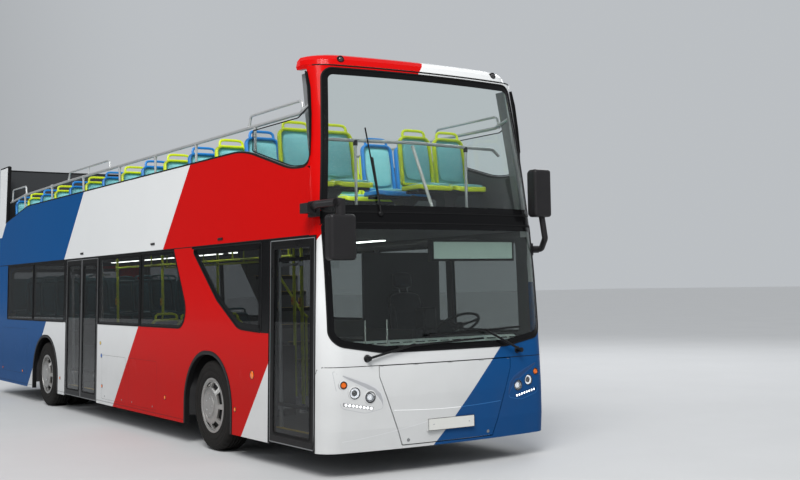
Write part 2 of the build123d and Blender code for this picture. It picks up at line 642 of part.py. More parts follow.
# ------------------------------------------------------------------ cab
SEAT_Y = 640.0
CAB_FLOOR = 560.0
partition = box(X(-1800), X(-1770), 200, 1190, FLOOR_Z, 2040)
partition += box(X(-1770), X(-860), 200, 230, FLOOR_Z, 1240)
partition += box(X(-1770), X(-420), 200, 1190, CAB_FLOOR - 30, CAB_FLOOR)
partition += box(X(-1770), X(-420), 200, 230, FLOOR_Z, CAB_FLOOR)
save(partition, "cab_partition")

dash = prism([(X(-120), 980), (X(-120), 1075), (X(-330), 1130), (X(-330), 980)],
             -1050, 1050, "y")
binnacle = prism([(X(-325), 700), (X(-325), 1135), (X(-480), 1190), (X(-690), 1106),
                  (X(-640), 960), (X(-420), 700)], 330, 955, "y")
dash = dash + binnacle
dash += box(X(-345), X(-250), 950, 1130, 720, 1060)
dash += box(X(-345), X(-250), 230, 335, 720, 1060)
# steering column: the shaft leans rearwards
WHEEL_C = Vector(X(-690), SEAT_Y, 1275)
TILT = radians(32)
COL = Vector(-sin(TILT), 0, cos(TILT))          # from the dashboard to the wheel
col_foot = WHEEL_C - COL * 330
col_neck = WHEEL_C - COL * 70
sleeve = rod(tuple(col_foot), tuple(col_neck), 42)
dash = dash + sleeve - rod(tuple(WHEEL_C - COL * 250), tuple(WHEEL_C), 15 + FIT)
save(dash, "dashboard")
ring_plane = Plane(origin=WHEEL_C, x_dir=(0, 1, 0), z_dir=COL)
ring = ring_plane * Torus(222, 14)
hub = extrude(Plane(origin=WHEEL_C - COL * 62, z_dir=COL) * Circle(48), amount=60)
shaft = rod(tuple(WHEEL_C - COL * 248), tuple(WHEEL_C - COL * 40), 15)
steer = ring + hub + shaft
for a in (90, 210, 330):
    tip = WHEEL_C + ring_plane.x_dir * (216 * cos(radians(a))) + ring_plane.y_dir * (216 * sin(radians(a)))
    steer += rod(tuple(WHEEL_C - COL * 22), tuple(tip), 11)
save(steer, "steering_wheel")

# driver's seat: pedestal, cushion, back and headrest
seat = box(X(-1480), X(-1200), SEAT_Y - 140, SEAT_Y + 140, CAB_FLOOR, 860)
seat += box(X(-1580), X(-1080), SEAT_Y - 240, SEAT_Y + 240, 860, 980)
seat += prism([(X(-1480), 980), (X(-1580), 980), (X(-1720), 1640), (X(-1630), 1640)],
              SEAT_Y - 230, SEAT_Y + 230, "y")
seat += prism([(X(-1628), 1630), (X(-1716), 1630), (X(-1750), 1830), (X(-1672), 1830)],
              SEAT_Y - 130, SEAT_Y + 130, "y")
save(seat, "driver_seat")

# blank destination display behind the lower screen
save(box(X(-300), X(-235), 20, 1010, 1905, 2110), "destination_display")

# ------------------------------------------------------------ passenger seats
SEAT_W, PAN_D, PAN_H, BACK_H, BACK_T = 860.0, 400.0, 430.0, 960.0, 60.0
UPPER_ROWS = [-1130.0 - 735.0 * i for i in range(14)]   # rear edge of the pan
# lower saloon: rear edge of the pan, floor, foot of the pedestal
LOWER_ROWS = [(-3600, FLOOR_Z, FLOOR_Z), (-4400, FLOOR_Z, FLOOR_Z),
              (-5200, FLOOR_Z, FLOOR_Z), (-8330, PLATFORM_Z, 1105.0),
              (-9110, PLATFORM_Z, 1105.0), (-9900, PLATFORM_Z, PLATFORM_Z)]
pans, pedestals, backs = [], [], []


def double_seat(st, floor_z, y0, y1, foot=None):
    mid = (y0 + y1) / 2
    pans.append(box(X(st), X(st) + PAN_D, y0, y1, floor_z + PAN_H - 50, floor_z + PAN_H))
    pedestals.append(box(X(st) + 60, X(st) + 330, mid - 110, mid + 110, foot or floor_z,
                         floor_z + PAN_H - 50))
    back = prism([(X(st), floor_z + PAN_H), (X(st) + BACK_T, floor_z + PAN_H),
                  (X(st) + BACK_T - 75, floor_z + BACK_H), (X(st) - 75, floor_z + BACK_H)],
                 y0, y1, "y")
    backs.append(back)


for i, st in enumerate(UPPER_ROWS):
    double_seat(st, DECK_HI, -1120, -1120 + SEAT_W)
    if not (WELL[0] - 520 < st < WELL[1] + 60):
        double_seat(st, DECK_HI, 1120 - SEAT_W, 1120)
for st, fz, foot in LOWER_ROWS:
    double_seat(st, fz, -1165, -1165 + SEAT_W, foot)
    if st < -8000:
        double_seat(st, fz, 1165 - SEAT_W, 1165, foot)
double_seat(-7300, FLOOR_Z, 305, 1165)
double_seat(-6480, FLOOR_Z, 305, 1165)
# bench across the back of the lower saloon
pans.append(box(X(-11000), X(-10560), -1140, 1140, BENCH_Z, BENCH_Z + 150))
backs.append(prism([(X(-11000), BENCH_Z + 150), (X(-10930), BENCH_Z + 150),
                    (X(-11010), BENCH_Z + 680), (X(-11080), BENCH_Z + 680)],
                   -1130, 1130, "y"))
save(pans, "seat_pans")
save(pedestals, "seat_pedestals")
save(backs, "seat_backs")

# ------------------------------------------------------------------ handrails
# posts on the parapet: station of each, foot z
POSTS = [-1580, -3055, -4275, -5520, -7000, -8500, -9990]
# raised loops over the rail: rear station, front station
LOOPS = [(-1720, -580), (-7660, -5880), (-10750, -9900)]


def upright(foot, top, r, rails):
    """Round post whose top is shaped to the rail that lies on it."""
    return rod(foot, top, r) - rails


def side_rail(s):
    y = s * (hw(RAIL_Z) - 62.0)
    run = [(X(-11000), y, 3190), (X(-10000), y, 3262), (X(-7700), y, RAIL_Z),
           (X(-640), y, RAIL_Z), (X(-425), y, 3350)]
    bare = tube(run, RAIL_R, 90)
    rail = bare + Pos(X(-425), y, 3350) * Sphere(RAIL_R)
    for a, b in LOOPS:
        base = RAIL_Z - 10 if a > -9000 else 3215
        rail += tube([(X(a), y, base), (X(a) + 40, y, 3400), (X(b) - 30, y, 3400),
                      (X(b), y, base if b > -9000 else 3250)], 13, 55)
    rail += rod((X(-6760), y, RAIL_Z), (X(-6760), y, 3400), 10)
    stands = []
    for st in POSTS:
        foot = PARAPET_Z if -9650 < st < -1650 else (3032 if st > -2000 else 3000)
        post = upright((X(st), y, foot - 90), (X(st), y, RAIL_Z if st > -9000 else 3262), 14, bare)
        post += box(X(st) - 40, X(st) + 40, s * (hw(foot - 60) - WALL - 14),
                    y, foot - 118, foot - 78)
        stands.append(post)
    return rail, stands


(rail_r, posts_r), (rail_l, posts_l) = side_rail(-1), side_rail(1)
rails_up, stands = [rail_r, rail_l], posts_r + posts_l
# grab rail behind the upper screen
front_bar = tube([(X(-560), -1105, 2990), (X(-520), -1000, 3040), (X(-470), 0, 3050),
                  (X(-520), 1000, 3040), (X(-560), 1105, 2990)], 16, 60)
for s in (-1, 1):
    stands.append(upright((X(-500), s * 640, DECK_HI), (X(-500), s * 640, 3045), 14, front_bar))
rails_up.append(front_bar)
# guard round the stair well
wy, wz = WELL[2] - 30, DECK_HI
guard = tube([(X(WELL[0] - 40), 1100, wz + 900), (X(WELL[0] - 40), wy, wz + 900),
              (X(WELL[1] - 600), wy, wz + 900)], 16, 60)
for st, yy in ((WELL[0] - 40, 1080), (WELL[0] - 40, wy + 90), (WELL[1] - 620, wy),
               (-4800, wy)):
    stands.append(upright((X(st), yy, wz), (X(st), yy, wz + 900), 14, guard))
rails_up.append(guard)
# poles of the lower saloon, floor to ceiling
for st, yy, fz in ((-1990, -420, FLOOR_Z), (-3420, 250, FLOOR_Z), (-5900, -420, FLOOR_Z),
                   (-5900, 380, FLOOR_Z), (-7560, -460, FLOOR_Z), (-9560, 240, PLATFORM_Z)):
    stands.append(rod((X(st), yy, fz), (X(st), yy, DECK_LO), 16))
save(rails_up, "hand_rails")
save(stands, "rail_posts")

# ------------------------------------------------------------------ mirrors
REACH = 1345.0         # |y| of the outermost point of both mirrors


def rounded_box(x0, x1, y0, y1, z0, z1, r):
    b = box(x0, x1, y0, y1, z0, z1)
    return fillet(b.edges(), r)


root_r = lean(box(X(-300), X(-150), -HALF_W - 40, -HALF_W, 2300, 2440), -1)
arm_r = tube([(X(-225), -1262, 2375), (X(-60), -1300, 2400), (X(190), -1262, 2400)], 34, 60)
arm_r += rod((X(190), -1262, 2400), (X(190), -1210, 2400), 40)
arm_r += rod((X(190), -1215, 2430), (X(190), -1215, 2290), 42)
house_r = rounded_box(X(110), X(240), -REACH + 5, -1080, 1905, 2300, 34)
mirror_right = root_r + arm_r + house_r
house_l = rounded_box(X(-110), X(20), 1100, 1310, 2330, 2800, 30)
root_l = lean(box(X(-330), X(-240), HALF_W, HALF_W + 40, 1960, 2080), 1)
arm_l = tube([(X(-285), 1262, 2020), (X(-150), 1300, 2020), (X(-45), 1262, 2120),
              (X(-45), 1225, 2340)], 30, 50)
mirror_left = root_l + arm_l + house_l
pad_l = box(X(-330), X(-240), REACH - 60, REACH, 1985, 2055)
pad_r = box(X(-300), X(-160), -REACH, -REACH + 80, 2330, 2420)
mirror_right = mirror_right + pad_r
mirror_left = mirror_left + pad_l
save([mirror_right - nose_solid, mirror_left - nose_solid], "mirrors")

# ------------------------------------------------------------------ wipers
# each: pivot (y, z), elbow (y, z), blade end points (y, z)
WIPERS = [((-858, 1045), (-400, 1150), (-560, 1135), (385, 1175)),
          ((840, 1045), (420, 1240), (840, 1265), (-250, 1225))]


def nose_x(y, z):
    """Outer surface of the nose at (y, z), for |y| inside the wide arc."""
    for a, b in zip(NOSE_SECTIONS, NOSE_SECTIONS[1:]):
        if a[0] <= z <= b[0]:
            k = (z - a[0]) / (b[0] - a[0])
            return X(a[1] + k * (b[1] - a[1])) - (NOSE_R - sqrt(NOSE_R ** 2 - y * y))


wipers = []
for pivot, elbow, b0, b1 in WIPERS:
    off = 34 if pivot[0] < 0 else 58
    w = rod((nose_x(*pivot) - 30, *pivot), (nose_x(*pivot) + off + 8, *pivot), 20)
    w += rod((nose_x(*pivot) + off, *pivot), (nose_x(*elbow) + off, *elbow), 11)
    w += rod((nose_x(*b0) + off - 8, *b0), (nose_x(*b1) + off - 8, *b1), 9)
    k = (elbow[0] - b0[0]) / (b1[0] - b0[0])
    bx = nose_x(*b0) + k * (nose_x(*b1) - nose_x(*b0)) + off - 8
    bz = b0[1] + k * (b1[1] - b0[1])
    w += rod((nose_x(*elbow) + off + 12, *elbow), (bx - 2, elbow[0], bz), 11)
    wipers.append(w - nose_solid)
save(wipers, "wipers")
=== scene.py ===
import bpy
import math
import random
from math import cos, pi, radians, sin, sqrt
import numpy as np
from mathutils import Matrix, Vector


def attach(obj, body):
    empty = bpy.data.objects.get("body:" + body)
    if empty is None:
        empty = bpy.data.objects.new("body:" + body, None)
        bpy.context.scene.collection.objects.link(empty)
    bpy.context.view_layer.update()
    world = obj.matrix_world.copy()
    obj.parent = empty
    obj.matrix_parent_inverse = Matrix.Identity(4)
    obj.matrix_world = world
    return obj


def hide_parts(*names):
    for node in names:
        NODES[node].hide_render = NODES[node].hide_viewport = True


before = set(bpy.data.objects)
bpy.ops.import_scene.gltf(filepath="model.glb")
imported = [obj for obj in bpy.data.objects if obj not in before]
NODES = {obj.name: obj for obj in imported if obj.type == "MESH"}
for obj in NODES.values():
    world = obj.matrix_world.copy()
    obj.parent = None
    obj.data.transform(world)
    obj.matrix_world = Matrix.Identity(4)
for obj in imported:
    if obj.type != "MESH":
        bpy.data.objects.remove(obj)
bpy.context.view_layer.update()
random.seed(7)

# ------------------------------------------------------------------ dimensions
NOSE = 5.690
SKIRT, HALF_W, LEAN = 0.229, 1.277, 0.0255
SILL, LINTEL, JOINT, PARAPET = 1.262, 2.120, 2.143, 3.062
TAIL = -11.620
FLOOR, PLATFORM, BENCH, DECK = 0.375, 0.900, 1.240, 2.265
FRONT_AXLE, REAR_AXLE = -2.500, -8.470
TYRE_R, TYRE_W, BEAD = 0.470, 0.275, 0.286
TRACK_F, TRACK_R = 1.100, (1.105, 0.790)


def X(st):
    return st + NOSE


def hw(z):
    return HALF_W - LEAN * (z - SKIRT)


# ------------------------------------------------------------ node expressions
class E:
    """A float in a node tree, with arithmetic."""

    def __init__(self, tree, sock):
        self.t, self.s = tree, sock

    def op(self, kind, *others, clamp=False):
        n = self.t.nodes.new("ShaderNodeMath")
        n.operation, n.use_clamp = kind, clamp
        for i, v in enumerate((self,) + others):
            if isinstance(v, E):
                self.t.links.new(v.s, n.inputs[i])
            else:
                n.inputs[i].default_value = float(v)
        return E(self.t, n.outputs[0])

    def __add__(self, o):
        return self.op("ADD", o)

    def __sub__(self, o):
        return self.op("SUBTRACT", o)

    def __mul__(self, o):
        return self.op("MULTIPLY", o)

    def abs(self):
        return self.op("ABSOLUTE")

    def over(self, limit, soft=0.0006):
        """0 below the limit, 1 above it."""
        return self.op("SUBTRACT", limit).op("DIVIDE", soft).op("ADD", 0.5, clamp=True)

    def under(self, limit, soft=0.0006):
        return self.op("MULTIPLY", -1.0).over(-limit if not isinstance(limit, E) else limit * -1.0, soft)


class Graph:
    def __init__(self, name):
        self.m = bpy.data.materials.new(name)
        self.m.use_nodes = True
        self.t = self.m.node_tree
        self.t.nodes.clear()
        self.out = self.t.nodes.new("ShaderNodeOutputMaterial")
        self.tc = self.t.nodes.new("ShaderNodeTexCoord")
        sep = self.t.nodes.new("ShaderNodeSeparateXYZ")
        self.t.links.new(self.tc.outputs["Object"], sep.inputs[0])
        self.x, self.y, self.z = (E(self.t, sep.outputs[i]) for i in range(3))

    def noise(self, scale, detail=3.0, rough=0.55, stretch=None):
        n = self.t.nodes.new("ShaderNodeTexNoise")
        n.inputs["Scale"].default_value = scale
        n.inputs["Detail"].default_value = detail
        n.inputs["Roughness"].default_value = rough
        src = self.tc.outputs["Object"]
        if stretch:
            mp = self.t.nodes.new("ShaderNodeMapping")
            mp.inputs["Scale"].default_value = stretch
            self.t.links.new(src, mp.inputs["Vector"])
            src = mp.outputs[0]
        self.t.links.new(src, n.inputs["Vector"])
        return E(self.t, n.outputs["Fac"])

    def voronoi(self, scale):
        n = self.t.nodes.new("ShaderNodeTexVoronoi")
        n.inputs["Scale"].default_value = scale
        self.t.links.new(self.tc.outputs["Object"], n.inputs["Vector"])
        return E(self.t, n.outputs["Distance"])

    def wave(self, scale, direction="X"):
        n = self.t.nodes.new("ShaderNodeTexWave")
        n.bands_direction = direction
        n.inputs["Scale"].default_value = scale
        self.t.links.new(self.tc.outputs["Object"], n.inputs["Vector"])
        return E(self.t, n.outputs["Fac"])

    def rgb(self, c):
        n = self.t.nodes.new("ShaderNodeRGB")
        n.outputs[0].default_value = (*c, 1.0)
        return n.outputs[0]

    def mix(self, fac, a, b):
        """Colour a where fac is 0, colour b where it is 1."""
        n = self.t.nodes.new("ShaderNodeMix")
        n.data_type = "RGBA"
        if isinstance(fac, E):
            self.t.links.new(fac.s, n.inputs[0])
        else:
            n.inputs[0].default_value = fac
        for v, k in ((a, 6), (b, 7)):
            if isinstance(v, (tuple, list)):
                n.inputs[k].default_value = (*v[:3], 1.0)
            else:
                self.t.links.new(v, n.inputs[k])
        return n.outputs[2]

    def bump(self, height, strength, distance):
        n = self.t.nodes.new("ShaderNodeBump")
        n.inputs["Strength"].default_value = strength
        n.inputs["Distance"].default_value = distance
        self.t.links.new(height.s, n.inputs["Height"])
        return n.outputs[0]

    def shader(self, color, rough=0.4, metal=0.0, bump=None, coat=0.0, coat_rough=0.05, spec=0.5,
               transmission=0.0, ior=1.45, alpha=1.0, sheen=0.0, emit=None, emit_strength=0.0):
        p = self.t.nodes.new("ShaderNodeBsdfPrincipled")
        if isinstance(color, (tuple, list)):
            p.inputs["Base Color"].default_value = (*color[:3], 1.0)
        else:
            self.t.links.new(color, p.inputs["Base Color"])
        for k, v in (("Roughness", rough), ("Metallic", metal)):
            if isinstance(v, E):
                self.t.links.new(v.s, p.inputs[k])
            else:
                p.inputs[k].default_value = v
        p.inputs["Coat Weight"].default_value = coat
        p.inputs["Coat Roughness"].default_value = coat_rough
        p.inputs["Specular IOR Level"].default_value = spec
        p.inputs["Transmission Weight"].default_value = transmission
        p.inputs["IOR"].default_value = ior
        p.inputs["Alpha"].default_value = alpha
        p.inputs["Sheen Weight"].default_value = sheen
        if emit:
            p.inputs["Emission Color"].default_value = (*emit, 1.0)
            p.inputs["Emission Strength"].default_value = emit_strength
        if bump is not None:
            self.t.links.new(bump, p.inputs["Normal"])
        return p.outputs[0]

    def mix_shader(self, fac, a, b):
        n = self.t.nodes.new("ShaderNodeMixShader")
        if isinstance(fac, E):
            self.t.links.new(fac.s, n.inputs[0])
        else:
            n.inputs[0].default_value = fac
        self.t.links.new(a, n.inputs[1])
        self.t.links.new(b, n.inputs[2])
        return n.outputs[0]

    def done(self, shader):
        self.t.links.new(shader, self.out.inputs[0])
        return self.m


def tone(c, k):
    return tuple(max(0.0, min(1.0, v * k)) for v in c)


def plain(name, color, rough=0.45, metal=0.0, vary=0.12, scale=6.0, grain=900.0, bump=0.15,
          depth=0.0004, rough_vary=0.15, **kw):
    """Material with slow colour change, uneven gloss and a fine surface grain."""
    g = Graph(name)
    big = g.noise(scale, 4.0)
    col = g.mix(big, tone(color, 1 - vary), tone(color, 1 + vary))
    r = g.noise(scale * 7, 3.0) * rough_vary + (rough - rough_vary / 2)
    fine = g.noise(grain, 2.0)
    return g.done(g.shader(col, r, metal, g.bump(fine, bump, depth), **kw))


RED, BLUE, WHITE = (0.56, 0.0025, 0.002), (0.0, 0.074, 0.25), (0.74, 0.75, 0.75)
BLACK = (0.0045, 0.0045, 0.005)
GREY_IN = (0.085, 0.087, 0.09)


def paint_finish(g, col, inner=None, rough=0.17):
    """Coach paint: slight orange peel, dust and a painted shade towards the skirt, matt inner side."""
    peel = g.noise(24.0, 1.0)
    dust = g.noise(3.2, 5.0, 0.6)
    low = g.z.under(1.10, 0.9)
    grime = low * dust * 0.14
    # painted shade: the paint colour darkens towards the skirt; the brownish grime below is dust
    col = g.mix(low * 0.22, col, (0.02, 0.017, 0.016))
    col = g.mix(grime, col, (0.10, 0.08, 0.07))
    shade = g.noise(0.9, 3.0)
    col = g.mix(shade * 0.06, col, (0.012, 0.012, 0.012))
    r = dust * 0.10 + rough
    r = r + grime * 0.6
    if inner is not None:
        col = g.mix(inner, col, GREY_IN)
        r = r + inner * 0.35
    bump = g.bump(peel, 0.006, 0.0006)
    clean = g.shader(col, r, 0.0, bump, coat=0.10, coat_rough=0.03, spec=0.16, ior=1.24)
    film = g.shader(col, r + 0.06, 0.0, bump, coat=0.03, coat_rough=0.08, spec=0.10, ior=1.13)
    return g.mix_shader(low, clean, film)


def livery_side():
    g = Graph("livery_side")
    x, y, z = g.x, g.y, g.z
    # right side: blue at the rear, white, red in front, white below the front door
    blue_r = (x - z * 0.937).under(-3.94)
    red_r = (x - z * 0.85).over(0.03)
    white_low = (x - z * 0.7785).over(3.80) * z.under(1.0)
    right = g.mix(blue_r, WHITE, BLUE)
    right = g.mix(red_r, right, RED)
    right = g.mix(white_low, right, WHITE)
    # left side: white at the top front, blue, white, red at the rear
    top_front = (x * 1.07 + z).over(7.57)
    line_a = (x + z * 0.935).over(2.786)
    line_b = (x + z * 0.935).over(-0.714)
    left = g.mix(line_b, RED, WHITE)
    left = g.mix(line_a, left, BLUE)
    left = g.mix(top_front, left, WHITE)
    col = g.mix(y.over(0.0), right, left)
    inner = (y.abs() + z * LEAN).under(HALF_W + LEAN * SKIRT - 0.010, 0.002)
    return g.done(paint_finish(g, col, inner))


def livery_front():
    g = Graph("livery_front")
    x, y, z = g.x, g.y, g.z
    low = g.mix((y - z * 0.9333).over(-0.3919), WHITE, BLUE)
    # red pillar above the slanted edge on the right, header split in the middle
    red_pillar = (z - x * 1.143).over(-4.14) * y.under(-0.60)
    header = z.over(3.60) * (y - z * 0.75).under(-2.832)
    up = g.mix(red_pillar, WHITE, RED)
    up = g.mix(header, up, RED)
    col = g.mix(z.over(1.95), low, up)
    right_low = y.under(-0.6) * z.over(1.0) * (z - x * 1.143).under(-4.14)
    col = g.mix(right_low, col, WHITE)
    band = z.over(2.236) * z.under(2.356) * y.abs().under(1.192)
    col = g.mix(band, col, BLACK)
    return g.done(paint_finish(g, col))


def livery_rear():
    g = Graph("livery_rear")
    x, y, z = g.x, g.y, g.z
    blue = (y + z * 0.20).under(-0.10)
    red = (y + z * 0.20).over(0.95)
    col = g.mix(blue, WHITE, BLUE)
    col = g.mix(red, col, RED)
    # the corners carry on the sides' colours
    col = g.mix(x.over(-5.72) * y.under(-0.9), col, BLUE)
    col = g.mix(x.over(-5.72) * y.over(0.9), col, RED)
    return g.done(paint_finish(g, col))


def livery_hood():
    g = Graph("livery_hood")
    x, y, z = g.x, g.y, g.z
    blue = z.under(2.62, 0.004) * y.under(-1.0)
    red = z.under(2.62, 0.004) * y.over(1.0)
    col = g.mix(blue, WHITE, BLUE)
    col = g.mix(red, col, RED)
    side_in = (y.abs() + z * LEAN).under(HALF_W + LEAN * SKIRT - 0.014, 0.002)
    rear_in = (x - y * y * (1 / 18.0) - z * 0.0309).over(-5.9777 + 0.022, 0.002)
    dy = y.abs() + z * LEAN - (HALF_W + LEAN * SKIRT - 0.1765)
    dx = x - z * 0.0309 + (5.9777 - 0.2348)
    corner = dy.over(0.0) * dx.under(0.0) * (dx * dx + dy * dy).over(0.156 ** 2, 0.0005)
    inner = side_in * rear_in * (corner * -1.0 + 1.0)
    col = g.mix(inner, col, (0.055, 0.057, 0.06))
    return g.done(paint_finish(g, col, None, 0.30))


def glass(name, tint, rough=0.0, spec=0.5):
    g = Graph(name)
    haze = g.noise(7.0, 5.0) * 0.010
    return g.done(g.shader(tint, haze + rough, 0.0, None, transmission=1.0, ior=1.45, spec=spec))


def screen_glass():
    """Greener and darker in the lower screen, nearly clear in the upper one."""
    g = Graph("screen_glass")
    col = g.mix(g.z.over(2.29, 0.01), (0.56, 0.62, 0.60), (0.88, 0.935, 0.92))
    haze = g.noise(7.0, 5.0) * 0.008
    return g.done(g.shader(col, haze, 0.0, None, transmission=1.0, ior=1.36))


def side_glass():
    """Dark in the saloon, clear in the low wind panes of the open deck."""
    g = Graph("side_glass")
    col = g.mix(g.z.over(2.5, 0.01), (0.35, 0.362, 0.366), (0.90, 0.945, 0.94))
    haze = g.noise(5.0, 5.0) * 0.012
    return g.done(g.shader(col, haze, 0.0, None, transmission=1.0, ior=1.24))


def door_material(panes):
    """Gloss black frame with a tinted pane inside each rectangle (x0, z0, x1, z1)."""
    g = Graph("door_%d" % len(bpy.data.materials))
    hole = None
    for x0, z0, x1, z1 in panes:
        m = g.x.over(x0) * g.x.under(x1) * g.z.over(z0) * g.z.under(z1)
        hole = m if hole is None else hole.op("MAXIMUM", m)
    outer = (g.y * -1.0 + g.z * LEAN).over(HALF_W + LEAN * SKIRT - 0.016, 0.001)
    hole = hole * outer
    dirt = g.noise(6.0, 5.0)
    body = g.shader(g.mix(dirt * 0.30, BLACK, (0.022, 0.021, 0.019)), dirt * 0.15 + 0.22, 0.0,
                    g.bump(g.noise(160.0), 0.02, 0.0004), spec=0.12)
    pane = g.shader((0.38, 0.393, 0.398), g.noise(5.0, 5.0) * 0.02, 0.0, None, transmission=1.0, ior=1.22)
    return g.done(g.mix_shader(hole, body, pane))


M = {}
M["side"] = livery_side()
M["front"] = livery_front()
M["rear"] = livery_rear()
M["hood"] = livery_hood()
M["screen"] = screen_glass()
M["side_glass"] = side_glass()
M["lens"] = glass("lamp_glass", (0.95, 0.96, 0.97))
M["black"] = plain("gloss_black", BLACK, 0.16, vary=0.3, coat=0.0, bump=0.03, spec=0.14)
M["rubber"] = plain("rubber_seal", (0.006, 0.006, 0.0065), 0.62, vary=0.25, grain=600, bump=0.2, spec=0.16)
M["plastic_black"] = plain("moulded_black", (0.009, 0.009, 0.0095), 0.42, vary=0.2, grain=1400, bump=0.3, spec=0.2)
M["mirror_shell"] = plain("mirror_shell", (0.014, 0.013, 0.014), 0.38, vary=0.2, grain=1500, bump=0.3, spec=0.3)
M["chassis"] = plain("chassis_paint", (0.022, 0.022, 0.024), 0.55, vary=0.35, scale=3, grain=90, bump=0.4, depth=0.001)
M["casting"] = plain("casting", (0.06, 0.06, 0.062), 0.6, metal=0.4, vary=0.3, grain=220, bump=0.5, depth=0.001)
M["engine"] = plain("engine_casting", (0.16, 0.165, 0.17), 0.5, metal=0.6, vary=0.3, grain=220, bump=0.5, depth=0.001)
M["housing"] = plain("housing_coat", (0.02, 0.02, 0.021), 0.8, vary=0.3, grain=70, bump=0.6, depth=0.002)
M["steel"] = plain("rail_grey", (0.50, 0.51, 0.51), 0.40, metal=0.60, vary=0.10, grain=700, bump=0.12)
M["chrome"] = plain("chrome", (0.72, 0.73, 0.74), 0.10, metal=1.0, vary=0.05, rough_vary=0.06)
M["silver"] = plain("wheel_silver", (0.37, 0.36, 0.345), 0.36, metal=0.80, vary=0.18, scale=9, grain=500, bump=0.2)
M["lime"] = plain("lime_plastic", (0.60, 0.72, 0.010), 0.36, vary=0.10, grain=1500, bump=0.25)
M["blue_plastic"] = plain("blue_plastic", (0.010, 0.20, 0.56), 0.36, vary=0.12, grain=1500, bump=0.25)
M["teal"] = plain("teal_shell", (0.20, 0.56, 0.58), 0.42, vary=0.12, grain=1500, bump=0.25)
M["dark_teal"] = plain("dark_teal_shell", (0.015, 0.085, 0.10), 0.42, vary=0.15, grain=1500, bump=0.25)
M["white_plastic"] = plain("white_plastic", (0.62, 0.62, 0.60), 0.40, vary=0.08, grain=1200, bump=0.2)
M["grey_plastic"] = plain("grey_plastic", (0.16, 0.165, 0.17), 0.5, vary=0.12, grain=1200, bump=0.3)
M["plate"] = plain("blank_plate", (0.60, 0.60, 0.57), 0.35, vary=0.06)
M["amber"] = plain("amber_lens", (0.80, 0.16, 0.008), 0.14, vary=0.15, coat=0.4)
M["red_lens"] = plain("red_lens", (0.50, 0.008, 0.008), 0.12, vary=0.15, coat=0.6)
M["white_lens"] = plain("white_lens", (0.78, 0.79, 0.80), 0.12, vary=0.08, coat=0.6)
M["smoked"] = plain("smoked_lens", (0.035, 0.033, 0.034), 0.12, vary=0.15, coat=0.5)
# painted shade: darker grey line in the recess round the lamps
M["crease"] = plain("crease_shade", (0.36, 0.37, 0.39), 0.4)
M["yellow"] = plain("yellow_edge", (0.72, 0.50, 0.02), 0.5, vary=0.15, grain=500, bump=0.4)
M["button_blue"] = plain("button_blue", (0.02, 0.12, 0.45), 0.35)


def lit(name, color, strength):
    g = Graph(name)
    n = g.noise(30.0)
    return g.done(g.shader(g.mix(n, tone(color, 0.92), color), 0.3, emit=color, emit_strength=strength))


M["headlight"] = lit("headlight_glow", (0.95, 0.97, 1.0), 0.55)
M["bowl"] = plain("reflector_bowl", (0.42, 0.43, 0.44), 0.20, metal=0.75, vary=0.06)
M["led"] = lit("led_white", (0.95, 0.97, 1.0), 2.2)
M["tube"] = lit("ceiling_lamp", (0.95, 0.96, 0.93), 8.0)
M["mirror_glass"] = plain("mirror_glass", (0.80, 0.82, 0.84), 0.03, metal=1.0, vary=0.02, rough_vary=0.01, bump=0.0)


def tyre_material():
    g = Graph("tyre_rubber")
    dust = g.noise(9.0, 6.0, 0.65)
    col = g.mix(dust, (0.006, 0.006, 0.0062), (0.022, 0.020, 0.018))
    r = dust * 0.25 + 0.62
    return g.done(g.shader(col, r, 0.0, g.bump(g.noise(420.0, 3.0), 0.35, 0.0006), spec=0.14))


def fabric(name, a, b, scale=420.0):
    """Woven moquette with small scattered flecks."""
    g = Graph(name)
    weave = g.wave(scale, "X") * g.wave(scale, "Z")
    fleck = g.voronoi(95.0).under(0.22, 0.08)
    wear = g.noise(4.0, 4.0)
    col = g.mix(fleck, tone(a, 0.9), b)
    col = g.mix(wear * 0.35, col, tone(a, 0.55))
    return g.done(g.shader(col, wear * 0.15 + 0.75, 0.0, g.bump(weave, 0.5, 0.0012), sheen=0.3))


def floor_material(name, base, fleck):
    g = Graph(name)
    dots = g.voronoi(260.0).under(0.20, 0.05)
    dirt = g.noise(2.2, 6.0, 0.62)
    col = g.mix(dots * 0.7, base, fleck)
    col = g.mix(dirt * 0.45, col, tone(base, 0.5))
    return g.done(g.shader(col, dirt * 0.2 + 0.55, 0.0, g.bump(g.noise(700.0), 0.5, 0.0008)))


def deck_material():
    """Top: speckled non-slip sheet. Underside: pale ceiling lining."""
    g = Graph("upper_deck")
    dots = g.voronoi(240.0).under(0.20, 0.05)
    dirt = g.noise(2.0, 6.0, 0.62)
    top = g.mix(dots * 0.7, (0.10, 0.105, 0.11), (0.30, 0.31, 0.32))
    top = g.mix(dirt * 0.5, top, (0.05, 0.048, 0.045))
    col = g.mix(g.z.over(2.24, 0.002), (0.20, 0.20, 0.20), top)
    return g.done(g.shader(col, dirt * 0.2 + 0.5, 0.0, g.bump(g.noise(600.0), 0.4, 0.0008)))


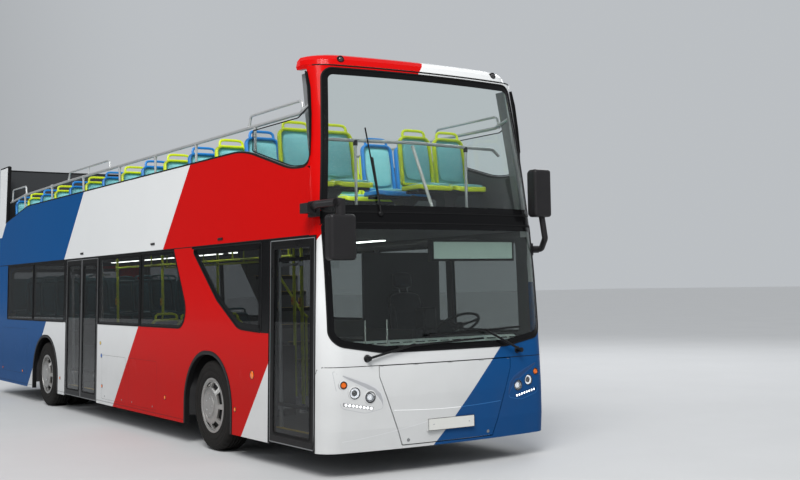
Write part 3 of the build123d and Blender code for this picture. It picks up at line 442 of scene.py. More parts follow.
M["tyre"] = tyre_material()
M["moquette"] = fabric("seat_moquette", (0.24, 0.66, 0.70), (0.58, 0.82, 0.81))
M["moquette_dark"] = fabric("saloon_moquette", (0.012, 0.075, 0.095), (0.10, 0.30, 0.32))
M["cab_cloth"] = fabric("cab_cloth", (0.014, 0.016, 0.024), (0.05, 0.055, 0.075))
M["floor"] = floor_material("saloon_floor", (0.12, 0.125, 0.13), (0.34, 0.35, 0.36))
M["deck"] = deck_material()
M["lining"] = plain("lining", (0.17, 0.175, 0.18), 0.5, vary=0.06, grain=800, bump=0.3)
M["dark_lining"] = plain("dark_lining", (0.035, 0.036, 0.038), 0.5, vary=0.08, grain=800, bump=0.3)
M["ledge"] = plain("ledge_cover", (0.74, 0.82, 0.79), 0.5, vary=0.06, grain=800, bump=0.3)
M["display"] = plain("blank_display", (0.74, 0.90, 0.82), 0.22, vary=0.06, coat=0.5, emit=(0.74, 0.90, 0.82), emit_strength=0.12)
# painted highlight: near-white line along the crease across the flap
M["crease_light"] = plain("crease_light", (0.90, 0.90, 0.91), 0.3)
# painted shade: grey line along the fainter fold low on the flap
M["crease_soft"] = plain("crease_soft", (0.60, 0.605, 0.615), 0.4)
# painted highlight: a lighter blue line along creases on the blue paint
M["crease_blue"] = plain("crease_blue", (0.015, 0.13, 0.36), 0.35)
M["bezel"] = plain("lamp_bezel", (0.06, 0.06, 0.062), 0.25, metal=0.5, vary=0.1)
M["fold"] = plain("fold_shade", (0.36, 0.365, 0.38), 0.4)
M["fold_soft"] = plain("fold_soft_shade", (0.55, 0.555, 0.565), 0.4)
M["fold_blue"] = plain("fold_shade_blue", (0.0, 0.036, 0.13), 0.4)
M["fold_soft_blue"] = plain("fold_soft_shade_blue", (0.0, 0.054, 0.19), 0.4)
M["dash"] = plain("dash_grain", (0.022, 0.023, 0.024), 0.5, vary=0.15, grain=750, bump=0.6, depth=0.0006)


# -------------------------------------------------------------- mesh building
class B:
    """Collects faces of many small shapes for one object."""

    def __init__(self):
        self.v, self.f, self.k, self.mats = [], [], [], []

    def mat(self, key):
        if key not in self.mats:
            self.mats.append(key)
        return self.mats.index(key)

    def add(self, verts, faces, key):
        n = len(self.v)
        m = self.mat(key)
        self.v.extend(tuple(p) for p in verts)
        for f in faces:
            self.f.append(tuple(n + i for i in f))
            self.k.append(m)

    def box(self, x0, x1, y0, y1, z0, z1, key, r=0.0):
        x0, x1 = sorted((x0, x1))
        y0, y1 = sorted((y0, y1))
        z0, z1 = sorted((z0, z1))
        if r <= 0:
            v = [(x, y, z) for x in (x0, x1) for y in (y0, y1) for z in (z0, z1)]
            self.add(v, [(0, 1, 3, 2), (4, 6, 7, 5), (0, 4, 5, 1), (2, 3, 7, 6), (0, 2, 6, 4), (1, 5, 7, 3)], key)
            return
        r = min(r, (x1 - x0) / 2.01, (y1 - y0) / 2.01, (z1 - z0) / 2.01)
        # chamfered box: 24 vertices
        v, idx = [], {}
        for i, x in enumerate((x0, x1)):
            for j, y in enumerate((y0, y1)):
                for k, z in enumerate((z0, z1)):
                    sx, sy, sz = (1, -1)[i], (1, -1)[j], (1, -1)[k]
                    idx[i, j, k, 0] = len(v); v.append((x, y + sy * r, z + sz * r))
                    idx[i, j, k, 1] = len(v); v.append((x + sx * r, y, z + sz * r))
                    idx[i, j, k, 2] = len(v); v.append((x + sx * r, y + sy * r, z))
        f = []
        for i in (0, 1):
            q = [idx[i, 0, 0, 0], idx[i, 0, 1, 0], idx[i, 1, 1, 0], idx[i, 1, 0, 0]]
            f.append(q if i == 0 else q[::-1])
            q = [idx[0, i, 0, 1], idx[1, i, 0, 1], idx[1, i, 1, 1], idx[0, i, 1, 1]]
            f.append(q if i == 0 else q[::-1])
            q = [idx[0, 0, i, 2], idx[0, 1, i, 2], idx[1, 1, i, 2], idx[1, 0, i, 2]]
            f.append(q if i == 0 else q[::-1])
        for i in (0, 1):
            for j in (0, 1):
                f.append([idx[i, j, 0, 0], idx[i, j, 1, 0], idx[i, j, 1, 1], idx[i, j, 0, 1]])
                f.append([idx[i, 0, j, 0], idx[i, 1, j, 0], idx[i, 1, j, 2], idx[i, 0, j, 2]])
                f.append([idx[0, i, j, 1], idx[1, i, j, 1], idx[1, i, j, 2], idx[0, i, j, 2]])
                for k in (0, 1):
                    if k == 0:
                        pass
                    f.append([idx[i, j, k, 0], idx[i, j, k, 1], idx[i, j, k, 2]])
        self.add(v, f, key)

    def tube(self, pts, r, key, n=10, caps=True, closed=False, flat=None):
        """Round tube along points; flat=(rx, rz) gives an oval section."""
        pts = [Vector(p) for p in pts]
        m = len(pts)
        up = Vector((0, 0, 1))
        rings = []
        prev = None
        for i, p in enumerate(pts):
            a = pts[(i - 1) % m] if (i or closed) else p
            b = pts[(i + 1) % m] if (i < m - 1 or closed) else p
            d = (b - a)
            d = d.normalized() if d.length > 1e-9 else Vector((1, 0, 0))
            if prev is None:
                ref = up if abs(d.z) < 0.9 else Vector((1, 0, 0))
                u = d.cross(ref).normalized()
            else:
                u = (prev - d * prev.dot(d)).normalized()
            prev = u
            w = d.cross(u)
            ra, rb = flat if flat else (r, r)
            rings.append([p + u * (ra * cos(t)) + w * (rb * sin(t)) for t in (2 * pi * k / n for k in range(n))])
        v = [q for ring in rings for q in ring]
        f = []
        for i in range(m if closed else m - 1):
            j = (i + 1) % m
            for k in range(n):
                f.append((i * n + k, i * n + (k + 1) % n, j * n + (k + 1) % n, j * n + k))
        if caps and not closed:
            f.append(tuple(range(n))[::-1])
            f.append(tuple((m - 1) * n + k for k in range(n)))
        self.add(v, f, key)

    def rod(self, p, q, r, key, n=12):
        self.tube([p, q], r, key, n)

    def turn(self, profile, centre, axis, key, n=32, span=2 * pi, key_of=None):
        """Surface turned about an axis through centre; profile is (along, radius)."""
        c, a = Vector(centre), Vector(axis).normalized()
        u = a.cross(Vector((0, 0, 1)) if abs(a.z) < 0.9 else Vector((1, 0, 0))).normalized()
        w = a.cross(u)
        v, f = [], []
        m = len(profile)
        for i in range(n):
            t = span * i / n
            d = u * cos(t) + w * sin(t)
            v += [c + a * s + d * r for s, r in profile]
        for i in range(n):
            j = (i + 1) % n
            for k in range(m - 1):
                f.append((i * m + k, i * m + k + 1, j * m + k + 1, j * m + k))
        self.add(v, f, key)

    def strip(self, left, right, key, closed=False):
        """Quads between two equal lists of points."""
        m = len(left)
        v = list(left) + list(right)
        f = []
        for i in range(m if closed else m - 1):
            j = (i + 1) % m
            f.append((i, j, m + j, m + i))
        self.add(v, f, key)

    def band(self, rows, key, closed=False, caps=False):
        """Rows of equal length joined into a skin; the last row joins the first if closed."""
        m = len(rows[0])
        v = [q for r in rows for q in r]
        f = []
        for i in range(len(rows) if closed else len(rows) - 1):
            j = (i + 1) % len(rows)
            for k in range(m - 1):
                f.append((i * m + k, i * m + k + 1, j * m + k + 1, j * m + k))
        if caps:
            f.append(tuple(i * m for i in range(len(rows))))
            f.append(tuple(i * m + m - 1 for i in range(len(rows)))[::-1])
        self.add(v, f, key)

    def plate(self, outline, place, t, key):
        """Flat sheet with an outline of (u, v) points; place(u, v, out) gives 3-D points."""
        n = len(outline)
        a = [place(u, v, 0.0) for u, v in outline]
        b = [place(u, v, t) for u, v in outline]
        f = [tuple(range(n))[::-1], tuple(range(n, 2 * n))]
        f += [(i, (i + 1) % n, n + (i + 1) % n, n + i) for i in range(n)]
        self.add(a + b, f, key)

    def ring(self, outline, place, w, t, key, back=0.0):
        """Frame that follows a closed outline: w wide inwards, t proud, back deep."""
        inner = offset(outline, w)
        rows = [[place(u, v, back) for u, v in outline], [place(u, v, t) for u, v in outline],
                [place(u, v, t) for u, v in inner], [place(u, v, back) for u, v in inner]]
        rows = [r + [r[0]] for r in rows]
        self.band(rows, key, closed=True)

    def obj(self, name, body, slot=None, smooth=35, bevel=0.0):
        me = bpy.data.meshes.new(name)
        me.from_pydata(self.v, [], self.f)
        for k in self.mats:
            me.materials.append(M[k])
        me.polygons.foreach_set("material_index", self.k)
        me.update()
        me.validate(clean_customdata=False)
        o = bpy.data.objects.new(name, me)
        bpy.context.scene.collection.objects.link(o)
        import bmesh
        bm = bmesh.new()
        bm.from_mesh(me)
        bmesh.ops.recalc_face_normals(bm, faces=bm.faces)
        for e in bm.edges:
            if len(e.link_faces) == 2:
                e.smooth = e.calc_face_angle(0.0) < radians(smooth)
        for f in bm.faces:
            f.smooth = True
        bm.to_mesh(me)
        bm.free()
        if bevel:
            mod = o.modifiers.new("bevel", "BEVEL")
            mod.width, mod.segments, mod.limit_method, mod.angle_limit = bevel, 2, "ANGLE", radians(40)
        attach(o, body)
        return o


def offset(outline, d):
    """Closed outline moved inwards by d (outline runs anticlockwise)."""
    n = len(outline)
    area = sum(outline[i][0] * outline[(i + 1) % n][1] - outline[(i + 1) % n][0] * outline[i][1] for i in range(n))
    sgn = 1 if area > 0 else -1
    out = []
    for i in range(n):
        (ax, ay), (bx, by), (cx, cy) = outline[i - 1], outline[i], outline[(i + 1) % n]
        ux, uy = bx - ax, by - ay
        vx, vy = cx - bx, cy - by
        lu, lv = sqrt(ux * ux + uy * uy) or 1e-9, sqrt(vx * vx + vy * vy) or 1e-9
        nx, ny = -uy / lu - vy / lv, ux / lu + vx / lv
        l = sqrt(nx * nx + ny * ny) or 1e-9
        nx, ny = nx / l, ny / l
        k = d / max(0.35, (nx * -uy / lu + ny * ux / lu))
        out.append((bx + sgn * nx * k, by + sgn * ny * k))
    return out


def rounded(pts, radii, n=7):
    """Closed outline with rounded corners."""
    if not isinstance(radii, (list, tuple)):
        radii = [radii] * len(pts)
    out, m = [], len(pts)
    for i in range(m):
        a, b, c, r = Vector(pts[i - 1]), Vector(pts[i]), Vector(pts[(i + 1) % m]), radii[i]
        u, v = (a - b), (c - b)
        lu, lv = u.length, v.length
        u, v = u / lu, v / lv
        ang = math.acos(max(-1, min(1, u.dot(v))))
        if r <= 0 or ang > pi - 0.01:
            out.append(tuple(b))
            continue
        t = r / math.tan(ang / 2)
        t = min(t, lu * 0.499, lv * 0.499)
        r = t * math.tan(ang / 2)
        centre = b + (u + v).normalized() * (r / sin(ang / 2))
        p, q = b + u * t, b + v * t
        a0 = math.atan2(p.y - centre.y, p.x - centre.x)
        a1 = math.atan2(q.y - centre.y, q.x - centre.x)
        d = (a1 - a0 + pi) % (2 * pi) - pi
        for k in range(n + 1):
            w = a0 + d * k / n
            out.append((centre.x + r * cos(w), centre.y + r * sin(w)))
    return out


def side_place(side, inset=0.0):
    """(station, z, out) on the leaning outer side face; inset moves inwards."""
    th = math.atan(LEAN)

    def at(st, z, out=0.0):
        dy, dz = out - inset, z - SKIRT
        return (X(st), side * (HALF_W + dy * cos(th) - dz * sin(th)), SKIRT + dz * cos(th) + dy * sin(th))
    return at


NOSE_SECTIONS = [(0.229, 0.022, 0.205), (0.420, 0.044, 0.208), (0.700, 0.052, 0.210),
                 (1.000, 0.048, 0.212), (1.400, 0.036, 0.214), (1.800, 0.014, 0.215),
                 (2.200, -0.024, 0.214), (2.600, -0.084, 0.210), (3.000, -0.148, 0.206),
                 (3.350, -0.206, 0.214), (3.700, -0.264, 0.232)]
TAIL_SECTIONS = [(0.229, TAIL + 0.030, 0.160), (0.700, TAIL, 0.165), (2.143, TAIL + 0.025, 0.170),
                 (3.000, TAIL + 0.045, 0.175), (3.810, TAIL + 0.070, 0.180)]


def section(sections, z):
    z = max(sections[0][0], min(sections[-1][0], z))
    for a, b in zip(sections, sections[1:]):
        if a[0] <= z <= b[0]:
            k = (z - a[0]) / (b[0] - a[0])
            return a[1] + k * (b[1] - a[1]), a[2] + k * (b[2] - a[2])


def end_place(sections, big, way):
    """(s, z, out): s runs along the plan outline from the middle towards +Y."""
    def at(s, z, out=0.0):
        tip, rc = section(sections, z)
        half, R = hw(z), big
        sg = 1 if s >= 0 else -1
        s = abs(s)
        xt = X(tip)
        cb = xt - way * R
        cx = cb + way * sqrt((R - rc) ** 2 - (half - rc) ** 2)
        ang = math.asin((half - rc) / (R - rc))
        l1 = R * ang
        l2 = rc * (pi / 2 - ang)
        if s <= l1:
            t = s / R
            p, n = (cb + way * R * cos(t), R * sin(t)), (way * cos(t), sin(t))
        elif s <= l1 + l2:
            t = ang + (s - l1) / rc
            p, n = (cx + way * rc * cos(t), half - rc + rc * sin(t)), (way * cos(t), sin(t))
        else:
            p, n = (cx - way * (s - l1 - l2), half), (0.0, 1.0)
        return (p[0] + n[0] * out, sg * (p[1] + n[1] * out), z)
    return at


nose = end_place(NOSE_SECTIONS, 7.0, 1)
tail = end_place(TAIL_SECTIONS, 9.0, -1)


def subdivide(outline, step=0.08):
    """Adds points along long edges so that an outline follows a curved face."""
    out, n = [], len(outline)
    for i in range(n):
        a, b = outline[i], outline[(i + 1) % n]
        d = sqrt((b[0] - a[0]) ** 2 + (b[1] - a[1]) ** 2)
        k = max(1, int(d / step))
        out += [(a[0] + (b[0] - a[0]) * j / k, a[1] + (b[1] - a[1]) * j / k) for j in range(k)]
    return out


def set_material(name, key):
    o = NODES[name]
    o.data.materials.clear()
    o.data.materials.append(M[key])


# ------------------------------------------------- materials on the CAD nodes
for name, key in {
        "right_side_wall": "side", "left_side_wall": "side", "right_upper_panel": "side",
        "left_upper_panel": "side", "front_panel": "front", "front_flap": "front",
        "front_frame": "front", "front_roof": "front", "rear_wall": "rear",
        "engine_cover": "rear", "rear_hood": "hood", "windscreens": "screen",
        "window_glass": "side_glass", "chassis_rails": "chassis",
        "cross_members": "chassis", "towing_eyes": "chassis", "front_axle": "casting",
        "rear_axle": "casting", "right_knuckle": "casting", "left_knuckle": "casting",
        "engine_block": "engine", "wheel_housings": "housing", "lower_floor": "floor",
        "upper_floor": "deck", "staircase": "floor", "cab_partition": "dark_lining",
        "dashboard": "dash", "steering_wheel": "plastic_black", "hand_rails": "steel", "rail_posts": "steel",
        "mirrors": "mirror_shell", "wipers": "plastic_black", "destination_display": "display",
        "front_door_post": "steel", "middle_door_front_leaf_post": "steel",
        "middle_door_rear_leaf_post": "steel", "seat_pans": "grey_plastic", "seat_pedestals": "casting",
        "seat_backs": "teal", "driver_seat": "cab_cloth", "headlamps": "lens",
        "tail_lamps": "red_lens"}.items():
    set_material(name, key)

# ------------------------------------------------------------------ openings
QUARTER = [(-2.985, LINTEL), (-2.325, 1.575), (-1.800, 1.285), (-1.290, SILL), (-1.290, LINTEL)]
SLANT = [(-4.535, SILL), (-3.005, SILL), (-3.500, LINTEL), (-4.535, LINTEL)]


def pane(a, b, z0=SILL, z1=LINTEL):
    return [(a, z0), (b, z0), (b, z1), (a, z1)]


RIGHT_WINDOWS = [(QUARTER, [.03, .42, .42, .03, .03]), (SLANT, [.03, .20, .03, .03]),
                 (pane(-6.085, -4.575), .03), (pane(-9.165, -7.580), .03), (pane(-10.700, -9.205), .03)]
LEFT_WINDOWS = [(pane(-1.560, -0.420, 1.180), .06), (pane(-3.060, -1.640), .03),
                (pane(-4.535, -3.100), .03), (pane(-6.085, -4.575), .03), (pane(-7.600, -6.125), .03),
                (pane(-9.165, -7.640), .03), (pane(-10.700, -9.205), .03)]
seals, borders = B(), B()
for windows, side in ((RIGHT_WINDOWS, -1), (LEFT_WINDOWS, 1)):
    for i, (pts, r) in enumerate(windows):
        line = rounded(pts, r)
        place = side_place(side)
        seals.ring(offset(line, -0.010), place, 0.016, 0.0035, "rubber", back=-0.003)
        w = 0.060 if (side < 0 and i == 0) else 0.026
        inner = offset(line, 0.004)
        borders.ring(inner, place, w, -0.0012, "black", back=-0.0020)
# black covers over the pillars between the panes and above the band
for side, spans in ((-1, [(-9.205, -9.165), (-4.575, -4.535), (-7.580, -7.488), (-6.117, -6.085), (-1.290, -1.122)]),
                    (1, [(-9.205, -9.165), (-7.640, -7.600), (-6.125, -6.085), (-4.575, -4.535),
                         (-3.100, -3.060), (-1.640, -1.560)])):
    for a, b in spans:
        borders.plate([(a, SILL - 0.008), (b, SILL - 0.008), (b, JOINT - 0.002), (a, JOINT - 0.002)],
                      side_place(side), 0.0012, "black")
for side, spans in ((-1, [(-10.712, -7.488), (-6.117, -3.49), (-2.99, -1.122)]), (1, [(-10.712, -0.41)])):
    for a, b in spans:
        borders.plate([(a, LINTEL - 0.002), (b, LINTEL - 0.002), (b, JOINT - 0.001), (a, JOINT - 0.001)],
                      side_place(side), 0.0010, "black")
# rear window and screens
rear_line = subdivide(rounded([(-0.98, 1.33), (0.98, 1.33), (0.96, 2.09), (-0.96, 2.09)], 0.09), 0.1)
seals.ring(offset(rear_line, -0.012), tail, 0.020, 0.004, "rubber", back=-0.004)
borders.ring(offset(rear_line, 0.006), tail, 0.045, -0.0008, "black", back=-0.0018)


def screen_line(pts, r):
    """The cut is made straight through, so y along the outline becomes arc length."""
    out = []
    for y, z in subdivide(rounded(pts, r, 10), 0.07):
        tip, rc = section(NOSE_SECTIONS, z)
        R, half = 7.0, hw(z)
        ang = math.asin((half - rc) / (R - rc))
        ye = R * sin(ang)
        a = abs(y)
        if a <= ye:
            s = R * math.asin(a / R)
        else:
            s = R * ang + rc * (math.asin(min(1.0, (a - (half - rc)) / rc)) - ang)
        out.append((s if y > 0 else -s, z))
    return out


LOWER = screen_line([(-1.190, 1.172), (-0.700, 1.092), (0.700, 1.092), (1.190, 1.172),
                     (1.186, 2.246), (-1.186, 2.246)], [.15, .60, .60, .15, .04, .04])
UPPER_S = screen_line([(-1.186, 2.346), (1.186, 2.346), (1.074, 3.668), (-1.074, 3.668)],
                      [.04, .04, .11, .11])
for line, w in ((LOWER, 0.052), (UPPER_S, 0.058)):
    seals.ring(offset(line, -0.008), nose, 0.014, 0.004, "rubber", back=-0.006)
    borders.ring(offset(line, 0.004), nose, w, -0.0012, "black", back=-0.0022)
seals.obj("window_seals", "body")
borders.obj("window_borders", "body")

# ------------------------------------------------------------ body side trim
ARCH_F, ARCH_R = (FRONT_AXLE - 0.040, 0.580, 1.000), (REAR_AXLE, 0.610, 1.016)
trim, lines, lamps_side = B(), B(), B()


def arch_path(spec, grow=0.0, n=26):
    c, h, top = spec
    r = h * 0.93
    h, r = h + grow, r + grow
    top = top + grow
    pts = [(c - h, SKIRT), (c - h, (top - r) * 0.5 + SKIRT * 0.5)]
    pts += [(c - h + r - r * cos(t), top - r + r * sin(t)) for t in (pi / 2 * k / n for k in range(n + 1))]
    pts += [(c + h - r + r * sin(t), top - r + r * cos(t)) for t in (pi / 2 * k / n for k in range(n + 1))]
    pts += [(c + h, (top - r) * 0.5 + SKIRT * 0.5), (c + h, SKIRT)]
    return pts


for side in (-1, 1):
    place = side_place(side)
    for spec in (ARCH_F, ARCH_R):
        sec = [(0.006, -0.0475), (-0.0025, -0.0475), (-0.0025, 0.004), (0.007, 0.009), (0.030, 0.009), (0.038, 0.003), (0.038, 0.0)]
        rows = [[place(u, v, o) for u, v in arch_path(spec, g)] for g, o in sec]
        trim.band(rows, "plastic_black")
    # dark joint between the lower wall and the upper panel
    a, b = (-11.38, -0.350)
    trim.band([[place(s, JOINT + dz, o) for s in np.linspace(a, b, 24)]
               for dz, o in ((-0.003, -0.002), (-0.003, 0.0012), (0.006, 0.0012), (0.006, -0.002))], "rubber")
    # rubber profile on the edge of the upper panel, with a grey line inside it
    up = [(-11.386, JOINT + 0.003), (-0.200, JOINT + 0.003), (-0.200, 3.03), (-0.348, 3.03), (-0.348, 2.773),
          (-0.700, 2.777), (-1.720, PARAPET), (-9.600, PARAPET), (-10.884, 2.872), (-11.176, 2.598)]
    # painted gusset that rounds the corner against the pillar
    fil = rounded([(-0.348, 2.95), (-0.348, 2.773), (-0.700, 2.777)], [0, .125, 0], 12)[1:-1]
    trim.plate([(-0.346, 2.766)] + fil[::-1], side_place(side, 0.0455), 0.0450, "side")
    line = rounded(up, [0, 0, 0, 0, .125, 1.25, 2.0, 2.2, .03, .06], 14)
    start = min(range(len(line)), key=lambda i: abs(line[i][0] + 0.348) + abs(line[i][1] - 3.03))
    stop = min(range(len(line)), key=lambda i: abs(line[i][0] + 10.884) + abs(line[i][1] - 2.872))
    edge = line[start:stop + 1]
    grow = lambda d: [(p[0], p[1]) for p in offset(line, -d)][start:stop + 1]
    shrink = lambda d: [(p[0], p[1]) for p in offset(line, d)][start:stop + 1]
    rows = [[place(u, v, o) for u, v in pts] for pts, o in
            ((shrink(0.012), 0.0006), (shrink(0.010), 0.0028), (grow(0.002), 0.0028), (grow(0.007), -0.004),
             (grow(0.007), -0.040), (grow(0.002), -0.048), (shrink(0.012), -0.048))]
    trim.band(rows, "rubber")
    rows = [[place(u, v, o) for u, v in pts] for pts, o in
            ((grow(0.0072), -0.014), (grow(0.0088), -0.017), (grow(0.0088), -0.027), (grow(0.0072), -0.030))]
    trim.band(rows, "grey_plastic")
    # rubber along the rear hood's sloping front edge
    hood = rounded([(-11.176, 2.598), (-11.176, 2.600), (-10.890, 2.870), (-10.825, 3.800)], [0, 0, .06, 0], 8)
    hood = [p for p in hood if p[1] > 2.60]
    for da, db, key in ((0.0, 0.014, "rubber"),):
        rows = [[(X(u) + dx, side * (hw(v) + dy), v) for u, v in hood]
                for dx, dy in ((-0.030, 0.002), (0.006, 0.002), (0.010, -0.006), (0.010, -0.040),
                               (0.006, -0.049), (-0.030, -0.049))]
        trim.band(rows, key)
    # rubber up the front pillar's rear edge above the side panel
    pil = [(-0.348, 3.00), (-0.350, 3.033), (-0.365, 3.236), (-0.400, 3.485), (-0.445, 3.640)]
    rows = [[(X(u) + dx, side * (hw(v) + dy), v) for u, v in pil]
            for dx, dy in ((0.020, 0.0016), (-0.006, 0.0016), (-0.009, -0.006), (-0.009, -0.046),
                           (-0.006, -0.053), (0.020, -0.053))]
    trim.band(rows, "rubber")
trim.obj("body_trim", "body", "frame_black")

# wind pane edging
wind = B()
for side in (-1, 1):
    wp = rounded([(-.366, 2.788), (-.695, 2.792), (-1.560, 3.034), (-1.560, 3.240), (-.620, 3.240), (-.385, 3.330)],
                 [.14, 1.05, .02, .02, .06, .01], 8)
    wind.ring(offset(wp, -0.003), side_place(side, 0.024), 0.009, 0.0025, "rubber", back=-0.009)
wind.obj("wind_pane_edges", "body", "frame_black")

# joint lines of skirt flaps, rub line and lamps on the sides
FLAPS_R = [(-5.90, -5.02), (-4.90, -3.98)]
FLAPS_L = [(-7.60, -6.70), (-6.60, -5.70), (-5.60, -4.70), (-4.60, -3.75)]


def groove(b, place, pts, w=0.005, key="rubber", closed=False, out=0.0008):
    """Thin dark line on a face along (u, v) points."""
    pts = subdivide(pts, 0.12) if closed else pts
    m = len(pts)
    la, lb = [], []
    for i in range(m):
        p = pts[i]
        a = pts[i - 1] if (i or closed) else p
        c = pts[(i + 1) % m] if (i < m - 1 or closed) else p
        dx, dy = c[0] - a[0], c[1] - a[1]
        l = sqrt(dx * dx + dy * dy) or 1e-9
        la.append(place(p[0] - dy / l * w / 2, p[1] + dx / l * w / 2, out))
        lb.append(place(p[0] + dy / l * w / 2, p[1] - dx / l * w / 2, out))
    b.strip(la, lb, key, closed)


def line_points(a, b, n=12):
    return [(a[0] + (b[0] - a[0]) * k / n, a[1] + (b[1] - a[1]) * k / n) for k in range(n + 1)]


for side, flaps in ((-1, FLAPS_R), (1, FLAPS_L)):
    place = side_place(side)
    for a, b in flaps:
        groove(lines, place, rounded([(a, 0.300), (b, 0.300), (b, 0.860), (a, 0.860)], 0.03), 0.0022, closed=True)
        for u in (a + 0.12, b - 0.12):
            lines.turn([(0.0, 0.011), (0.0012, 0.011), (0.0016, 0.0)], place(u, 0.335), (0, side, 0), "grey_plastic", 12)
    # fuel filler or air flap near the tail, engine side grille
    groove(lines, place, rounded([(-10.95, 0.42), (-9.45, 0.42), (-9.45, 1.12), (-10.95, 1.12)], 0.03), 0.0022, closed=True)
    for i in range(11 if side > 0 else 0):
        z = 0.60 + 0.040 * i
        lines.band([[place(s, z + dz, o) for s in (-10.85, -9.98)] for dz, o in
                    ((-0.012, 0.0004), (-0.006, 0.0034), (0.010, 0.0012), (0.012, 0.0004))], "plastic_black", caps=True)
    # lower joint, just over the skirt
    for a, b in ((-11.10, ARCH_R[0] - ARCH_R[1] - 0.05),
                 (ARCH_R[0] + ARCH_R[1] + 0.05, -7.50 if side < 0 else ARCH_F[0] - ARCH_F[1] - 0.05),
                 (-6.10, ARCH_F[0] - ARCH_F[1] - 0.05) if side < 0 else (ARCH_F[0] + ARCH_F[1] + 0.05, -0.26)):
        groove(lines, place, line_points((a, 0.268), (b, 0.268), 16), 0.004)


def lens_on(b, p, n, r, key, high=0.008, ring="plastic_black"):
    b.turn([(-0.004, r + 0.004), (0.003, r + 0.004), (0.004, r), (0.002, r - 0.002)], p, n, ring, 24)
    b.turn([(0.002, r - 0.001), (high * 0.8, r * 0.75), (high, r * 0.35), (high, 0.0)], p, n, key, 24)


R_PLACE, L_PLACE = side_place(-1), side_place(1)
for st, z, r, key in ((-1.478, .844, .040, "amber"), (-1.855, .481, .022, "amber"), (-3.711, .467, .022, "amber"),
                      (-5.884, .458, .020, "amber"), (-7.714, .456, .020, "amber"), (-9.70, .456, .020, "amber"),
                      (-10.90, .456, .020, "red_lens")):
    lens_on(lamps_side, R_PLACE(st, z), (0, -1, 0), r, key)
    lens_on(lamps_side, L_PLACE(st if st != -5.884 else -5.65, z), (0, 1, 0), r, key)
# emergency buttons beside the middle door
lens_on(lamps_side, R_PLACE(-5.972, 1.010), (0, -1, 0), 0.022, "yellow", 0.006, "grey_plastic")
lens_on(lamps_side, R_PLACE(-5.924, 0.850), (0, -1, 0), 0.024, "button_blue", 0.006, "grey_plastic")
# step lamps over the doors and panes
for st, z in ((-4.150, 2.226), (-2.246, 2.198), (-6.80, 2.205)):
    for place, side in ((R_PLACE, -1),):
        lamps_side.band([[place(st + du, z + dz, o) for du in (-0.055, 0.055)] for dz, o in
                         ((-0.014, 0.0), (-0.012, 0.008), (0.008, 0.012), (0.014, 0.0))], "plastic_black", caps=True)
lines.obj("side_joint_lines", "body", "frame_black")
lamps_side.obj("side_lamps", "body", "lamp_lens")

# ---------------------------------------------------------------- front face
face = B()
for sg in (-1, 1):
    # the flap's upper joint runs on to the corners and down behind the lamps
    groove(face, nose, line_points((sg * 0.745, 0.978), (sg * 1.28, 0.978), 14)
           + [(sg * 1.34, 0.955), (sg * 1.375, 0.90)] + line_points((sg * 1.385, 0.86), (sg * 1.385, 0.245), 8), 0.006)
    # recess line round the lamps: painted shade on the white side, painted highlight on the blue side
    cluster = rounded([(sg * 0.705, 0.600), (sg * 0.745, 0.735), (sg * 0.868, 0.817), (sg * 1.026, 0.886),
                       (sg * 1.185, 0.950), (sg * 1.160, 0.800), (sg * 1.110, 0.620), (sg * 0.88, 0.566)],
                      [.03, .08, .20, .30, .012, .20, .06, .15], 8)
    groove(face, nose, cluster, 0.0035, "crease" if sg < 0 else "crease_blue", closed=True, out=0.0006)
# shaded fold over the lamps, widest above the inner lamp
FOLD = [(1.150, .925, .002), (1.085, .900, .008), (1.026, .872, .014), (.950, .840, .020), (.868, .803, .026),
        (.800, .765, .030), (.750, .722, .027), (.722, .668, .015), (.712, .620, .002)]
for sg, keys in ((-1, ("fold_soft", "fold")), (1, ("fold_soft_blue", "fold_blue"))):
    for key, k, out in ((keys[0], 2.5, 0.0007), (keys[1], 1.35, 0.0011)):
        la, ra = [], []
        for i, (s, z, w) in enumerate(FOLD):
            a, c = FOLD[max(0, i - 1)], FOLD[min(len(FOLD) - 1, i + 1)]
            du, dv = c[0] - a[0], c[1] - a[1]
            q = sqrt(du * du + dv * dv)
            nu, nv = -dv / q * w * k / 2, du / q * w * k / 2
            la.append(nose(sg * (s + nu), z + nv, out))
            ra.append(nose(sg * (s - nu), z - nv, out))
        face.strip(la, ra, key)
# painted highlight along a soft crease that runs from one lamp group to the other
for k0, k1, key in ((0, 12, "crease_light"), (12, 20, "crease_blue")):
    groove(face, nose, [(-0.60 + 0.06 * k, 0.575 - 0.020 * cos(pi * (k - 10) / 20)) for k in range(k0, k1 + 1)], 0.006,
           key, out=0.0006)
# painted shade along a fainter fold under it
groove(face, nose, [(-1.10 + 0.05 * k, 0.330 + 0.150 * (k / 20.0) ** 1.3) for k in range(21)], 0.005, "crease_soft",
       out=0.0005)
# joint between the black cross band and the frames
for z in (2.232, 2.360):
    groove(face, nose, line_points((-1.30, z), (1.30, z), 40), 0.005)
# rain rail over the upper screen
rows = [[nose(s, z, o) for s in np.linspace(-1.16, 1.16, 40)] for z, o in
        ((3.688, 0.0), (3.692, 0.006), (3.699, 0.006), (3.7, 0.0))]
face.band(rows, "rubber")
# this object holds the joints and rain rail, and also the painted shade and painted highlight lines over the lamps and
# flap
face.obj("front_joints_and_painted_shading", "body", "frame_black")

